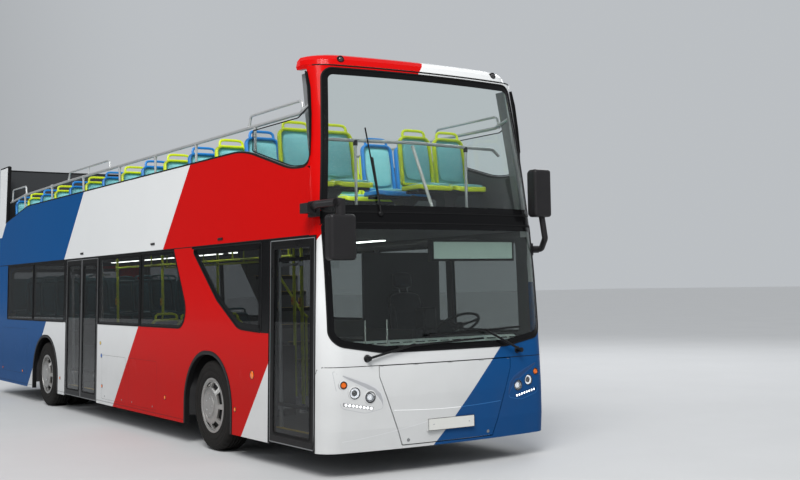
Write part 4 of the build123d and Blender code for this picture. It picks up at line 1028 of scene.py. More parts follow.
# headlamps, turn lamps, daytime lamps
units = B()
EZ_ = Vector((0, 0, 1))
for sg in (-1, 1):
    for name, ly, lz, lr, hole in (("inner", .836, .705, .051, .0635), ("outer", .983, .747, .051, .0635),
                                   ("turn", 1.088, .822, .034, .0435)):
        p0 = Vector(nose(sg * ly, lz, 0.0))
        n = (Vector(nose(sg * ly, lz, 0.01)) - p0).normalized()
        n = Vector((n.x, n.y * 0.6, -0.02)).normalized()
        p = p0 - n * 0.004
        units.turn([(-0.012, hole + 0.001), (0.004, hole + 0.0005), (0.0065, hole - 0.004), (0.0065, lr + 0.001),
                    (-0.010, lr + 0.0005)], p, n, "front", 40)
        units.turn([(-0.052, lr - 0.004), (0.004, lr + 0.0005), (0.0095, lr - 0.001), (0.0095, lr - 0.004),
                    (0.001, lr - 0.008)], p, n, "bezel", 40)
        if name == "turn":
            units.turn([(0.001, lr - 0.010), (-0.020, lr * 0.5), (-0.030, 0.0)], p, n, "chrome", 32)
            units.turn([(0.001, lr - 0.009), (0.006, lr * 0.62), (0.009, lr * 0.3), (0.010, 0.0)], p, n, "amber", 32)
            for k in range(1, 4):
                units.turn([(0.0070 + 0.0008 * (4 - k), lr * 0.22 * k - 0.0012), (0.0090 + 0.0008 * (4 - k), lr * 0.22 * k),
                            (0.0070 + 0.0008 * (4 - k), lr * 0.22 * k + 0.0012)], p, n, "amber", 28)
        else:
            units.turn([(0.001, lr - 0.008), (-0.010, lr * 0.74), (-0.020, lr * 0.52)], p, n,
                       "headlight" if name == "outer" else "bowl", 40)
            units.turn([(-0.020, lr * 0.52), (-0.016, lr * 0.46), (-0.020, lr * 0.40)], p, n, "chrome", 32)
            units.turn([(-0.020, lr * 0.41), (-0.008, lr * 0.30), (-0.004, lr * 0.14), (-0.0035, 0.0)], p, n,
                       "smoked" if name == "outer" else "headlight", 28)
            for k in range(12):
                t = 2 * pi * k / 12
                q = n.cross(EZ_).normalized()
                w = n.cross(q)
                d0 = q * cos(t) + w * sin(t)
                units.rod(p + d0 * (lr * 0.56) - n * 0.016, p + d0 * (lr - 0.011) - n * 0.004, 0.0010, "chrome", 6)
            # clear outer lens, two skins 2 mm apart
            units.turn([(0.0, lr - 0.007), (0.006, lr * 0.6), (0.008, lr * 0.3), (0.0085, 0.0)], p, n, "lens", 36)
            units.turn([(-0.002, lr - 0.007), (0.004, lr * 0.6), (0.006, lr * 0.3), (0.0065, 0.0)], p, n, "lens", 36)
    # daytime lamps: a dark strip with eight small domes
    strip = [(sg * .803, .590), (sg * 1.087, .6415), (sg * 1.087, .6665), (sg * .803, .615)]
    strip = subdivide(strip, 0.06)
    units.plate(strip, lambda u, v, o: nose(u, v, o - 0.012), 0.006, "front")
    for k in range(8):
        s = sg * (.826 + .0345 * k)
        z = .6065 + .0345 * k * (52.0 / 290.0)
        p0 = Vector(nose(s, z, -0.006))
        n = (Vector(nose(s, z, 0.01)) - p0).normalized()
        units.turn([(0.0, .0125), (0.003, .0125), (0.004, .0100)], p0, n, "chrome", 16)
        units.turn([(0.003, .0105), (0.0055, .0065), (0.0065, 0.0)], p0, n, "led", 16)
o = units.obj("headlamp_units", "body", "lamp_lens")
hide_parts("headlamps")

# blank plates
plate = B()
plate.box(5.7504, 5.7512, -0.2595, 0.2595, 0.3655, 0.4745, "plate")
for a, b, c, d in ((-0.2595, 0.2595, 0.3655, 0.3695), (-0.2595, 0.2595, 0.4705, 0.4745),
                   (-0.2595, -0.2555, 0.3655, 0.4745), (0.2555, 0.2595, 0.3655, 0.4745)):
    plate.box(5.7506, 5.7522, a, b, c, d, "plastic_black", 0.0005)
for y in (-0.20, 0.20):
    plate.turn([(0.0, 0.006), (0.0018, 0.006), (0.0024, 0.0)], (5.7512, y, 0.42), (1, 0, 0), "chrome", 14)
plate.obj("front_plate", "front_flap")
flap = B()
# flap skin edges: a thin bright lower edge and two catches
groove(flap, nose, [(-0.730, 0.968), (-0.37, 0.968), (0.0, 0.968), (0.37, 0.968), (0.730, 0.968)], 0.003, "grey_plastic", out=0.0006)
for sg in (-1, 1):
    p0 = Vector(nose(sg * 0.45, 0.300, 0.0))
    flap.turn([(-0.003, 0.016), (0.0015, 0.016), (0.002, 0.012), (0.001, 0.0)], p0, (1, 0, 0), "grey_plastic", 20)
flap.obj("flap_catches", "front_flap")

# ------------------------------------------------- screens: holder, pole, wiper
inner = B()
# U-shaped card holder on the ledge behind the lower screen
cx = nose(-0.735, 1.20)[0] - 0.045
inner.tube([(cx, -0.850, 1.38), (cx, -0.850, 1.172), (cx, -0.846, 1.160), (cx, -0.836, 1.155), (cx, -0.634, 1.155),
            (cx, -0.624, 1.160), (cx, -0.620, 1.172), (cx, -0.620, 1.38)], 0.007, "white_plastic", 10)
inner.box(cx - 0.020, cx + 0.004, -0.80, -0.67, 1.120, 1.150, "ledge", 0.004)
# white pole from the grab rail to the foot of the upper screen
inner.tube([(X(-0.470), -0.020, 3.020), (X(-0.455), -0.014, 2.985), (X(-0.33), 0.118, 2.38), (X(-0.325), 0.124, 2.268)],
           0.016, "white_plastic", 14)
inner.turn([(0.0, 0.040), (0.006, 0.040), (0.012, 0.026), (0.014, 0.017)], (X(-0.325), 0.124, 2.265), (0, 0, 1), "chrome", 24)
# feet and collars of the front grab rail
for sg in (-1, 1):
    inner.turn([(0.0, 0.042), (0.006, 0.042), (0.012, 0.026), (0.016, 0.016)], (X(-0.500), sg * 0.640, DECK), (0, 0, 1), "steel", 24)
    inner.turn([(-0.026, 0.019), (-0.022, 0.022), (0.022, 0.022), (0.026, 0.019)], (X(-0.500), sg * 0.640, 3.02), (0, 0, 1), "plastic_black", 20)
# lining of the corner pillars beside the upper screen
for sg in (-1, 1):
    rows = []
    for z in np.linspace(2.37, 3.64, 14):
        row = [nose(sg * (1.150 + 0.030 * k), z, -0.0515 - 0.001 * k) for k in range(9)]
        rows.append(row)
    inner.band(rows, "lining")
inner.obj("front_deck_fittings", "body", "rail_metal")
uw = B()
pv = Vector(nose(-0.65, 2.33, 0.0))
uw.turn([(0.0, 0.024), (0.018, 0.022), (0.026, 0.014), (0.028, 0.0)], pv, (1, 0, 0), "plastic_black", 20)
arm = [Vector(nose(-0.65 - 0.06 * (z - 2.335), z, 0.022)) for z in (2.335, 2.50, 2.68, 2.84)]
uw.tube(arm, 0.008, "plastic_black", 10)
blade = [Vector(nose(-0.662 - 0.09 * (z - 2.50), z, 0.011)) for z in (2.48, 2.60, 2.73, 2.86, 2.99, 3.12)]
uw.tube(blade, 0.0, "rubber", 8, flat=(0.005, 0.010))
uw.tube([arm[-1], Vector(nose(-0.690, 2.84, 0.014))], 0.009, "plastic_black", 8)
uw.obj("upper_wiper", "body", "wiper_black")
# wiper bosses and blade carriers on the lower wipers
lw = B()
for (py, pz), off in (((-0.858, 1.045), 0.034), ((0.840, 1.045), 0.058)):
    p0 = Vector(nose(py, pz, 0.0))
    lw.turn([(0.0, 0.034), (0.008, 0.033), (0.014, 0.026)], p0, (1, 0, 0), "plastic_black", 24)
    lw.turn([(off + 0.006, 0.0235), (off + 0.016, 0.0215), (off + 0.019, 0.012), (off + 0.0195, 0.0)], p0, (1, 0, 0), "plastic_black", 24)
for (y0, z0), (y1, z1), off in (((-0.560, 1.135), (0.385, 1.175), 0.034), ((0.840, 1.265), (-0.250, 1.225), 0.058)):
    rub = []
    for k in range(13):
        y, z = y0 + (y1 - y0) * k / 12, z0 + (z1 - z0) * k / 12
        rub.append(Vector(nose(y, z, off - 0.020)))
    lw.tube(rub, 0.0, "rubber", 8, flat=(0.004, 0.009))
    for a, b in ((1, 4), (4, 8), (8, 11)):
        mid = (a + b) // 2
        q = Vector(nose(y0 + (y1 - y0) * mid / 12, z0 + (z1 - z0) * mid / 12, off - 0.002))
        lw.tube([rub[a] + Vector((0.006, 0, 0)), q, rub[b] + Vector((0.006, 0, 0))], 0.0045, "plastic_black", 8)
lw.obj("wiper_blades", "body", "wiper_black")

# roof markers and small roof joint
roof = B()
for sg in (-1, 1):
    p0 = Vector((X(-0.284) - (7.0 - sqrt(49.0 - 0.879 ** 2)) - 0.001, sg * 0.879, 3.756))
    n = Vector((0.985, sg * 0.12, 0.10)).normalized()
    roof.turn([(-0.02, 0.034), (0.004, 0.034), (0.012, 0.031), (0.012, 0.027), (0.004, 0.025)], p0, n, "plastic_black", 28)
    roof.turn([(0.004, 0.026), (0.014, 0.018), (0.018, 0.008), (0.0185, 0.0)], p0, n, "smoked", 24)
for y in (-0.30, 0.30):
    roof.box(X(-0.60), X(-0.42), y - 0.004, y + 0.004, 3.8165, 3.8180, "rubber")
# lamp strip and lining under the front roof
roof.box(X(-0.605), X(-0.400), -0.42, 0.42, 3.742, 3.752, "lining", 0.004)
roof.box(X(-0.53), X(-0.49), -0.34, 0.34, 3.736, 3.743, "tube", 0.003)
roof.obj("roof_markers", "body", "lamp_lens")

# ------------------------------------------------------------------- rear end
rear = B()
for ly, lz, lr, key in ((1.085, .640, .048, "red_lens"), (1.085, .780, .048, "amber"), (1.085, .920, .048, "red_lens"),
                        (1.085, 1.600, .040, "red_lens")):
    for sg in (-1, 1):
        # arc length that gives this y on the tail outline
        s = ly
        p0 = Vector(tail(sg * s, lz, 0.0))
        s += ly - abs(p0.y)
        p0 = Vector(tail(sg * s, lz, 0.0))
        n = (Vector(tail(sg * s, lz, 0.01)) - p0).normalized()
        n = Vector((n.x, n.y * 0.5, 0)).normalized()
        rear.turn([(-0.030, lr), (0.004, lr + 0.002), (0.010, lr - 0.001), (0.010, lr - 0.005), (0.002, lr - 0.008)],
                  p0, n, "plastic_black", 32)
        rear.turn([(0.002, lr - 0.007), (0.010, lr * 0.66), (0.013, lr * 0.3), (0.0135, 0.0)], p0, n, key, 32)
        for k in (1, 2, 3):
            rear.turn([(0.0105 + 0.0006 * (4 - k), lr * 0.2 * k - 0.0012), (0.0132 + 0.0006 * (4 - k), lr * 0.2 * k),
                       (0.0105 + 0.0006 * (4 - k), lr * 0.2 * k + 0.0012)], p0, n, key, 28)
o = rear.obj("tail_lamp_units", "body", "tail_lens")
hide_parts("tail_lamps")
lid = B()
for i in range(11):
    z = 0.865 + 0.024 * i
    ys = np.linspace(-0.62, 0.62, 15)
    lid.band([[tail(y, z + dz, o) for y in ys] for dz, o in
              ((-0.009, 0.0003), (-0.004, 0.0024), (0.006, 0.0014), (0.009, 0.0003))], "plastic_black", caps=True)
groove(lid, tail, rounded([(-0.66, 0.775), (0.66, 0.775), (0.66, 1.14), (-0.66, 1.14)], 0.03), 0.006, closed=True)
pl = [(-0.26, 0.485), (0.26, 0.485), (0.26, 0.595), (-0.26, 0.595)]
lid.plate(subdivide(pl, 0.1), tail, 0.0022, "plate")
lid.ring(subdivide(pl, 0.1), tail, 0.005, 0.0035, "plastic_black")
lid.box(X(TAIL) + 0.0012, X(TAIL) + 0.010, -0.10, 0.10, 0.606, 0.630, "plastic_black", 0.002)
lid.turn([(-0.004, 0.022), (0.002, 0.022), (0.0035, 0.016), (0.002, 0.0)], (X(TAIL) + 0.0095, 0.45, 0.54), (-1, 0, 0), "grey_plastic", 20)
lid.obj("engine_lid_details", "engine_cover")
rl = B()
groove(rl, tail, line_points((-1.30, JOINT), (1.30, JOINT), 40), 0.006)
groove(rl, tail, line_points((-1.30, 1.235), (1.30, 1.235), 40), 0.004)
# bumper moulding under the lid
rows = [[tail(s, z, o) for s in np.linspace(-1.42, 1.42, 56)] for z, o in
        ((0.375, 0.0005), (0.380, 0.0028), (0.400, 0.0040), (0.440, 0.0040), (0.455, 0.0028), (0.458, 0.0005))]
rl.band(rows, "plastic_black", caps=True)
for sg in (-1, 1):
    p0 = Vector(tail(sg * 0.90, 0.415, 0.0040))
    rl.turn([(0.0, 0.030), (0.002, 0.030), (0.003, 0.026), (0.003, 0.0)], p0, (-1, 0, 0), "red_lens", 22)
    # top edge of the hood: rubber bead
rows = [[tail(s, 3.81 + dz, o) for s in np.linspace(-1.75, 1.75, 90)] for dz, o in
        ((-0.020, 0.0012), (-0.001, 0.0012), (0.004, -0.006), (0.004, -0.040), (-0.001, -0.047), (-0.020, -0.047))]
rl.band(rows, "rubber")
for sg in (-1, 1):
    p0 = Vector(tail(sg * 0.80, 3.70, 0.0))
    rl.turn([(-0.004, 0.032), (0.006, 0.032), (0.010, 0.026)], p0, (-1, 0, 0), "plastic_black", 22)
    rl.turn([(0.006, 0.027), (0.013, 0.016), (0.014, 0.0)], p0, (-1, 0, 0), "red_lens", 22)
rl.obj("rear_trim", "body", "frame_black")

# -------------------------------------------------------------------- wheels
def tyre(b, c, cx, s):
    """Tyre with circumferential grooves, shoulder blocks and moulded side rings."""
    h, n = TYRE_W / 2, 168
    prof = []                                     # (across, radius, kind)
    side = [(h - 0.012, BEAD, 0), (h - 0.004, 0.296, 0), (h - 0.001, 0.318, 0), (h, 0.334, 0), (h, 0.350, 0),
            (h - 0.0025, 0.354, 0), (h - 0.0025, 0.360, 0), (h, 0.364, 0), (h, 0.402, 0), (h - 0.003, 0.410, 0),
            (h - 0.003, 0.416, 0), (h - 0.001, 0.420, 0), (h - 0.006, 0.438, 1), (h - 0.016, 0.4545, 1),
            (h - 0.027, 0.4635, 1), (h - 0.042, 0.4685, 1)]
    prof += side
    for y0, y1 in ((0.058, 0.048), (0.022, 0.012)):
        prof += [(y0 + 0.001, 0.4697, 2), (y0, 0.4575, 2), (y1, 0.4575, 2), (y1 - 0.001, 0.4697, 2)]
    half = list(prof)
    prof = half + [(-a, r, k) for a, r, k in half[::-1]]
    v, f = [], []
    m = len(prof)
    for i in range(n):
        t = 2 * pi * i / n
        for j, (a, r, k) in enumerate(prof):
            rr, aa = r, a
            if k == 1 and i % 4 == 0:
                rr = r - 0.0075 * (1 if r > 0.445 else 0.5)
            # zigzag of the grooves
            if k == 2 and (i // 3) % 2 == 0:
                aa = a + 0.0022 * (1 if a > 0 else -1)
            v.append((cx + rr * sin(t), s * (c + aa), TYRE_R + rr * cos(t)))
    for i in range(n):
        j = (i + 1) % n
        for k in range(m - 1):
            f.append((i * m + k, i * m + k + 1, j * m + k + 1, j * m + k))
        f.append((i * m + m - 1, i * m, j * m, j * m + m - 1))
    b.add(v, f, "tyre")
    # moulded ribs round the sidewall
    for rr in (0.372, 0.392):
        b.turn([(c + h - 0.0015, rr - 0.002), (c + h + 0.0008, rr), (c + h - 0.0015, rr + 0.002)],
               (cx, 0, TYRE_R), (0, s, 0), "tyre", 96)


def cover(b, cx, s, face, twin=False):
    """Domed wheel cover with eight slots on its cone and a flat hub disc."""
    n, slots = 160, 8
    prof = [(face - 0.010, 0.2630), (face + 0.002, 0.2650), (face + 0.006, 0.2600), (face + 0.005, 0.2500),
            (face + 0.009, 0.2430), (face + 0.034, 0.1920), (face + 0.0400, 0.1840), (face + 0.0450, 0.1600),
            (face + 0.0465, 0.1350), (face + 0.0440, 0.1310), (face + 0.0440, 0.1150), (face + 0.0485, 0.1110),
            (face + 0.0500, 0.0600), (face + 0.0500, 0.0)]
    c = Vector((cx, 0, TYRE_R))

    def pt(a, r, t):
        return Vector((cx + r * sin(t), s * a, TYRE_R + r * cos(t)))
    v, f = [], []
    m = len(prof)
    for i in range(n):
        t = 2 * pi * i / n
        v += [pt(a, r, t) for a, r in prof]
    per = n // slots
    holes = []
    for i in range(n):
        j = (i + 1) % n
        for k in range(m - 1):
            if k == 4 and 3 <= i % per < per - 3:
                holes.append((i, j, k))
                continue
            f.append((i * m + k, i * m + k + 1, j * m + k + 1, j * m + k))
    b.add(v, f, "silver")
    for g in range(slots):
        i0, i1 = g * per + 3, g * per + per - 3
        t0, t1 = 2 * pi * i0 / n, 2 * pi * i1 / n
        (a0, r0), (a1, r1) = prof[4], prof[5]
        d = 0.022
        top = [pt(a0, r0, t0), pt(a0, r0, t1), pt(a1, r1, t1), pt(a1, r1, t0)]
        low = [p - Vector((0, s * d, 0)) for p in top]
        b.add(top + low, [(4, 5, 6, 7)], "rubber")
        b.add(top + low, [(0, 1, 5, 4), (1, 2, 6, 5), (2, 3, 7, 6), (3, 0, 4, 7)], "silver")
    # hub disc screws
    for k in range(5):
        t = 2 * pi * k / 5 + 0.3
        p = pt(face + 0.0492, 0.080, t)
        b.turn([(0.0, 0.0075), (0.002, 0.0070), (0.0026, 0.0)], p, (0, s, 0), "chrome", 12)
    # valve
    p = pt(face + 0.004, 0.232, 0.0)
    b.tube([p, p + Vector((0, s * 0.018, -0.004))], 0.004, "chrome", 8)


FX, RX = X(FRONT_AXLE), X(REAR_AXLE)
for s, word in ((-1, "right"), (1, "left")):
    t = B()
    tyre(t, TRACK_F, FX, s)
    o = t.obj("front_%s_tyre_tread" % word, "front_%s_wheel" % word, "tyre_rubber")
    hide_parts("front_%s_tyre" % word)
    c = B()
    cover(c, FX, s, 1.216)
    c.obj("front_%s_cover" % word, "front_%s_wheel" % word, "wheel_silver")
    set_material("front_%s_rim" % word, "silver")
    t = B()
    for tc in TRACK_R:
        tyre(t, tc, RX, s)
    o = t.obj("rear_%s_tyre_tread" % word, "rear_%s_wheels" % word, "tyre_rubber")
    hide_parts("rear_%s_tyres" % word)
    c = B()
    cover(c, RX, s, 1.214, True)
    c.obj("rear_%s_cover" % word, "rear_%s_wheels" % word, "wheel_silver")
    set_material("rear_%s_rims" % word, "silver")
    # brake drums behind the front wheels
    d = B()
    d.turn([(0.966, 0.100), (0.966, 0.180), (0.974, 0.190), (1.020, 0.190), (1.028, 0.180), (1.028, 0.110)],
           (FX, 0, TYRE_R), (0, s, 0), "casting", 40)
    d.obj("front_%s_brake" % word, "front_%s_wheel" % word, "axle_grey")

# --------------------------------------------------------------------- doors
def door_details(name, body, x0, x1, px0, px1, meeting=None):
    o = NODES[name]
    o.data.materials.clear()
    o.data.materials.append(door_material([(X(px0), 0.330, X(px1), 2.050)]))
    d = B()
    place = side_place(-1, 0.003)
    line = rounded([(px0, 0.330), (px1, 0.330), (px1, 2.050), (px0, 2.050)], 0.035, 6)
    d.ring(offset(line, -0.010), place, 0.020, 0.0022, "rubber", back=-0.003)
    # raised edge of the leaf
    d.ring(rounded([(x0 + 0.002, 0.247), (x1 - 0.002, 0.247), (x1 - 0.002, 2.126), (x0 + 0.002, 2.126)], 0.012, 4),
           place, 0.009, 0.0018, "grey_plastic", back=-0.002)
    # rubber edge fingers at both long edges
    for e, out in ((x0, -1), (x1, 1)):
        rows = [[place(e + out * dx, z, o) for z in np.linspace(0.250, 2.122, 12)] for dx, o in
                ((-0.004, -0.004), (0.003, -0.006), (0.0042, -0.018), (0.003, -0.030), (-0.004, -0.032))]
        d.band(rows, "rubber")
    # lower kick strip
    d.plate([(x0 + 0.03, 0.262), (x1 - 0.03, 0.262), (x1 - 0.03, 0.308), (x0 + 0.03, 0.308)], place, 0.0016, "plastic_black")
    d.obj(name + "_seals", body, "door_black")


MDC = (-7.476 - 6.128) / 2
door_details("front_door", "front_door", -1.110, -0.245, -1.035, -0.320)
door_details("middle_door_front_leaf", "middle_door_front_leaf", MDC + .005, -6.128, MDC + .065, -6.188)
door_details("middle_door_rear_leaf", "middle_door_rear_leaf", -7.476, MDC - .005, -7.416, MDC - .065)
# door surrounds and step edges on the body
ds = B()
for a, b in ((-1.120, -0.235), (-7.486, -6.118)):
    for e, sg in ((a, -1), (b, 1)):
        rows = [[R_PLACE(e + sg * dx, z, o) for z in np.linspace(SKIRT + 0.002, JOINT - 0.003, 10)] for dx, o in
                ((0.000, -0.030), (0.000, 0.0006), (0.002, 0.0018), (0.012, 0.0018), (0.014, 0.0003))]
        ds.band(rows, "rubber")
    ds.band([[R_PLACE(e, z, o) for e in (a, b)] for z, o in
             ((2.1315, -0.060), (2.1315, -0.0015), (2.1425, -0.0015), (2.1425, -0.060))], "rubber", caps=True)
    ds.box(X(a) + 0.02, X(b) - 0.02, -1.224, -1.180, FLOOR + 0.0005, FLOOR + 0.0045, "yellow", 0.001)
    ds.box(X(a) + 0.01, X(b) - 0.01, -1.222, -1.200, 0.250, FLOOR - 0.042, "plastic_black", 0.003)
ds.obj("door_surrounds", "body", "frame_black")

# ------------------------------------------------------------------- mirrors
mg = B()


def rect_place_x(x, way):
    return lambda u, v, o: (x + way * o, u, v)


glass_out = rounded([(-1.325, 1.925), (-1.095, 1.925), (-1.095, 2.125), (-1.325, 2.125)], 0.02, 5)
glass_up = rounded([(-1.325, 2.140), (-1.095, 2.140), (-1.095, 2.280), (-1.325, 2.280)], 0.02, 5)
for line in (glass_out, glass_up):
    mg.plate(line, rect_place_x(X(0.110), -1), 0.0015, "mirror_glass")
    mg.ring(offset(line, -0.006), rect_place_x(X(0.110), -1), 0.008, 0.004, "plastic_black")
left_line = rounded([(1.115, 2.350), (1.295, 2.350), (1.295, 2.780), (1.115, 2.780)], 0.02, 5)
mg.plate(left_line, rect_place_x(X(-0.110), -1), 0.0015, "mirror_glass")
mg.ring(offset(left_line, -0.006), rect_place_x(X(-0.110), -1), 0.008, 0.004, "plastic_black")
# joint lines of the housings and screws on the brackets
for x, y0, y1, z0, z1 in ((X(0.200), -1.3405, -1.0795, 1.9045, 2.3005), (X(-0.020), 1.0995, 1.3105, 2.3295, 2.8005)):
    ln = rounded([(y0, z0), (y1, z0), (y1, z1), (y0, z1)], 0.034, 6)
    mg.ring(ln, lambda u, v, o, x=x: (x + o, u, v), 0.0015, 0.003, "rubber")
for x, y, z, s in ((X(-0.27), -1.3445, 2.40, -1), (X(-0.18), -1.3445, 2.35, -1), (X(-0.31), 1.3445, 2.04, 1), (X(-0.26), 1.3445, 2.00, 1)):
    mg.turn([(-0.002, 0.009), (0.0, 0.009), (0.0008, 0.006), (0.0008, 0.0)], (x, y - s * 0.001, z), (0, s, 0), "steel", 14)
mg.obj("mirror_glasses", "body", "mirror_black")

# --------------------------------------------------------------------- seats
UPPER_ROWS = [-1.130 - 0.735 * i for i in range(14)]
LOWER_ROWS = [(-3.600, FLOOR, FLOOR), (-4.400, FLOOR, FLOOR), (-5.200, FLOOR, FLOOR),
              (-8.330, PLATFORM, 1.105), (-9.110, PLATFORM, 1.105), (-9.900, PLATFORM, PLATFORM)]
PAN_D, PAN_H, BACK_H = 0.400, 0.430, 0.960


def pad_grid(w, d, t, r, n=17, pull=0.035, crown=0.010):
    """Closed cushion: rounded outline, sides drawn in between its corners, crowned top."""
    top, low, side_pts = [], [], []
    us = np.linspace(-1, 1, n)
    v, f = [], []

    def shape(a, c):
        # squircle map keeps corners round
        x = a * sqrt(max(0.0, 1 - 0.5 * (c * c) * (min(1.0, r * 6)) * (a * a)))
        y = c * sqrt(max(0.0, 1 - 0.5 * (a * a) * (min(1.0, r * 6)) * (c * c)))
        x *= 1 - pull * (1 - c * c)
        y *= 1 - pull * (1 - a * a)
        return x * w / 2, y * d / 2
    for layer in (1, 0):
        for i, a in enumerate(us):
            for j, c in enumerate(us):
                x, y = shape(a, c)
                edge = max(abs(a), abs(c)) ** 6
                z = (t / 2 * (1 - 0.55 * edge) + crown * (1 - a * a) * (1 - c * c)) if layer else -t / 2 * (1 - 0.55 * edge)
                v.append((x, y, z))
    q = n * n
    for i in range(n - 1):
        for j in range(n - 1):
            a = i * n + j
            f.append((a, a + n, a + n + 1, a + 1))
            f.append((q + a, q + a + 1, q + a + n + 1, q + a + n))
    rim = [i * n for i in range(n)] + [(n - 1) * n + j for j in range(1, n)] \
        + [i * n + n - 1 for i in range(n - 2, -1, -1)] + [j for j in range(n - 2, 0, -1)]
    for a, b in zip(rim, rim[1:] + rim[:1]):
        f.append((a, b, q + b, q + a))
    return v, f


def swell(v, f, name, cap, pressure=4.0, hold=None):
    """Cloth pressure swells the pad; no point moves further than the cap."""
    me = bpy.data.meshes.new(name + "_sim")
    me.from_pydata(v, [], f)
    me.update()
    o = bpy.data.objects.new(name + "_sim", me)
    bpy.context.scene.collection.objects.link(o)
    import bmesh
    bm = bmesh.new()
    bm.from_mesh(me)
    bmesh.ops.recalc_face_normals(bm, faces=bm.faces)
    bm.to_mesh(me)
    bm.free()
    pins = o.vertex_groups.new(name="pin")
    zs = min(p[2] for p in v)
    pins.add([i for i, p in enumerate(v) if p[2] < zs + 0.004], 1.0, "REPLACE")
    mod = o.modifiers.new("cloth", "CLOTH")
    st = mod.settings
    st.use_pressure = True
    st.uniform_pressure_force = pressure
    st.effector_weights.gravity = 0
    st.vertex_group_mass = "pin"
    st.tension_stiffness = st.compression_stiffness = 12
    st.bending_stiffness = 2.0
    mod.point_cache.frame_start, mod.point_cache.frame_end = 1, 20
    scene = bpy.context.scene
    for k in range(1, 21):
        scene.frame_set(k)
    dg = bpy.context.evaluated_depsgraph_get()
    res = o.evaluated_get(dg).to_mesh()
    out = []
    for a, b in zip(v, res.vertices):
        d = Vector(b.co) - Vector(a)
        if d.length > cap:
            d = d.normalized() * cap
        out.append(tuple(Vector(a) + d))
    o.evaluated_get(dg).to_mesh_clear()
    bpy.data.objects.remove(o)
    bpy.data.meshes.remove(me)
    scene.frame_set(1)
    return out


def channels(v, axis, places, depth, width):
    """Sewn channels pressed into the top of a pad across one axis."""
    out = []
    for p in v:
        p = list(p)
        if p[2] > 0:
            for c in places:
                p[2] -= depth * math.exp(-((p[axis] - c) / width) ** 2)
        out.append(tuple(p))
    return out


pv, PAN_F = pad_grid(0.372, 0.372, 0.034, 0.10)
PAN_PAD = channels(swell(pv, PAN_F, "pan", 0.008), 0, (-0.062, 0.062), 0.004, 0.010)
bv, BACK_F = pad_grid(0.336, 0.430, 0.028, 0.10)
BACK_PAD = channels(swell(bv, BACK_F, "back", 0.008), 1, (-0.070, 0.085), 0.004, 0.010)
hv, HEAD_F = pad_grid(0.250, 0.190, 0.070, 0.12, 13, 0.05, 0.012)
HEAD_PAD = swell(hv, HEAD_F, "head", 0.010)


def put(b, verts, faces, key, origin, ex, ey, ez, k=(1, 1, 1)):
    o = Vector(origin)
    b.add([o + ex * (p[0] * k[0]) + ey * (p[1] * k[1]) + ez * (p[2] * k[2]) for p in verts], faces, key)


UP = Vector((-75.0, 0, 530.0)).normalized()
FORE = Vector((530.0, 0, 75.0)).normalized()
EX, EY, EZ = Vector((1, 0, 0)), Vector((0, 1, 0)), Vector((0, 0, 1))
BACK_LINE = rounded([(-0.205, 0.002), (0.205, 0.002), (0.194, 0.532), (-0.194, 0.532)], [.03, .03, .085, .085], 6)
PAN_LINE = rounded([(0.006, -0.206), (0.398, -0.200), (0.398, 0.200), (0.006, 0.206)], [.03, .07, .07, .03], 6)
RIM_SEC = [(0.000, 0.012), (0.000, 0.046), (0.005, 0.055), (0.014, 0.059), (0.024, 0.056), (0.030, 0.046),
           (0.030, 0.012), (0.024, 0.003), (0.006, 0.003)]


def single_seat(shell, pads, st, y, floor, rim, panel, cloth, loop=True):
    o = Vector((X(st), y, floor + PAN_H))

    def back(u, v, h):
        return o + EY * u + UP * v + FORE * h
    rows = [[back(u, v, h) for u, v in offset(BACK_LINE, d)] for d, h in RIM_SEC]
    rows = [r + [r[0]] for r in rows]
    shell.band(rows, rim, closed=True)
    inner_line = offset(BACK_LINE, 0.028)
    shell.plate(inner_line, lambda u, v, h: back(u, v, 0.008 + h), 0.012, panel)
    # ribs pressed into the back of the shell
    for u in (-0.09, 0.0, 0.09):
        shell.band([[back(u + du, v, h) for v in (0.09, 0.44)] for du, h in
                    ((-0.010, 0.0085), (-0.005, 0.004), (0.005, 0.004), (0.010, 0.0085))], panel, caps=True)
    put(pads, BACK_PAD, BACK_F, cloth, back(0.0, 0.268, 0.034), EY, UP, FORE)
    if loop:
        pts = [(-0.135, 0.505), (-0.135, 0.548), (-0.128, 0.572), (-0.108, 0.587), (-0.07, 0.592), (0.07, 0.592),
               (0.108, 0.587), (0.128, 0.572), (0.135, 0.548), (0.135, 0.505)]
        shell.tube([back(u, v, 0.030) for u, v in pts], 0.0, rim, 10, flat=(0.015, 0.013))

    def pan(u, v, h):
        # front edge rolls down a little
        drop = 0.020 * max(0.0, (u - 0.32) / 0.08) ** 2
        return Vector((X(st) + u, y + v, floor + PAN_H - 0.052 + h - drop))
    rows = [[pan(u, v, h * 0.85) for u, v in offset(PAN_LINE, d)] for d, h in RIM_SEC]
    rows = [r + [r[0]] for r in rows]
    shell.band(rows, rim, closed=True)
    shell.plate(offset(PAN_LINE, 0.026), lambda u, v, h: pan(u, v, 0.006 + h), 0.014, panel)
    put(pads, PAN_PAD, PAN_F, cloth, Vector((X(st) + 0.200, y, floor + PAN_H - 0.012)), EX, EY, EZ)


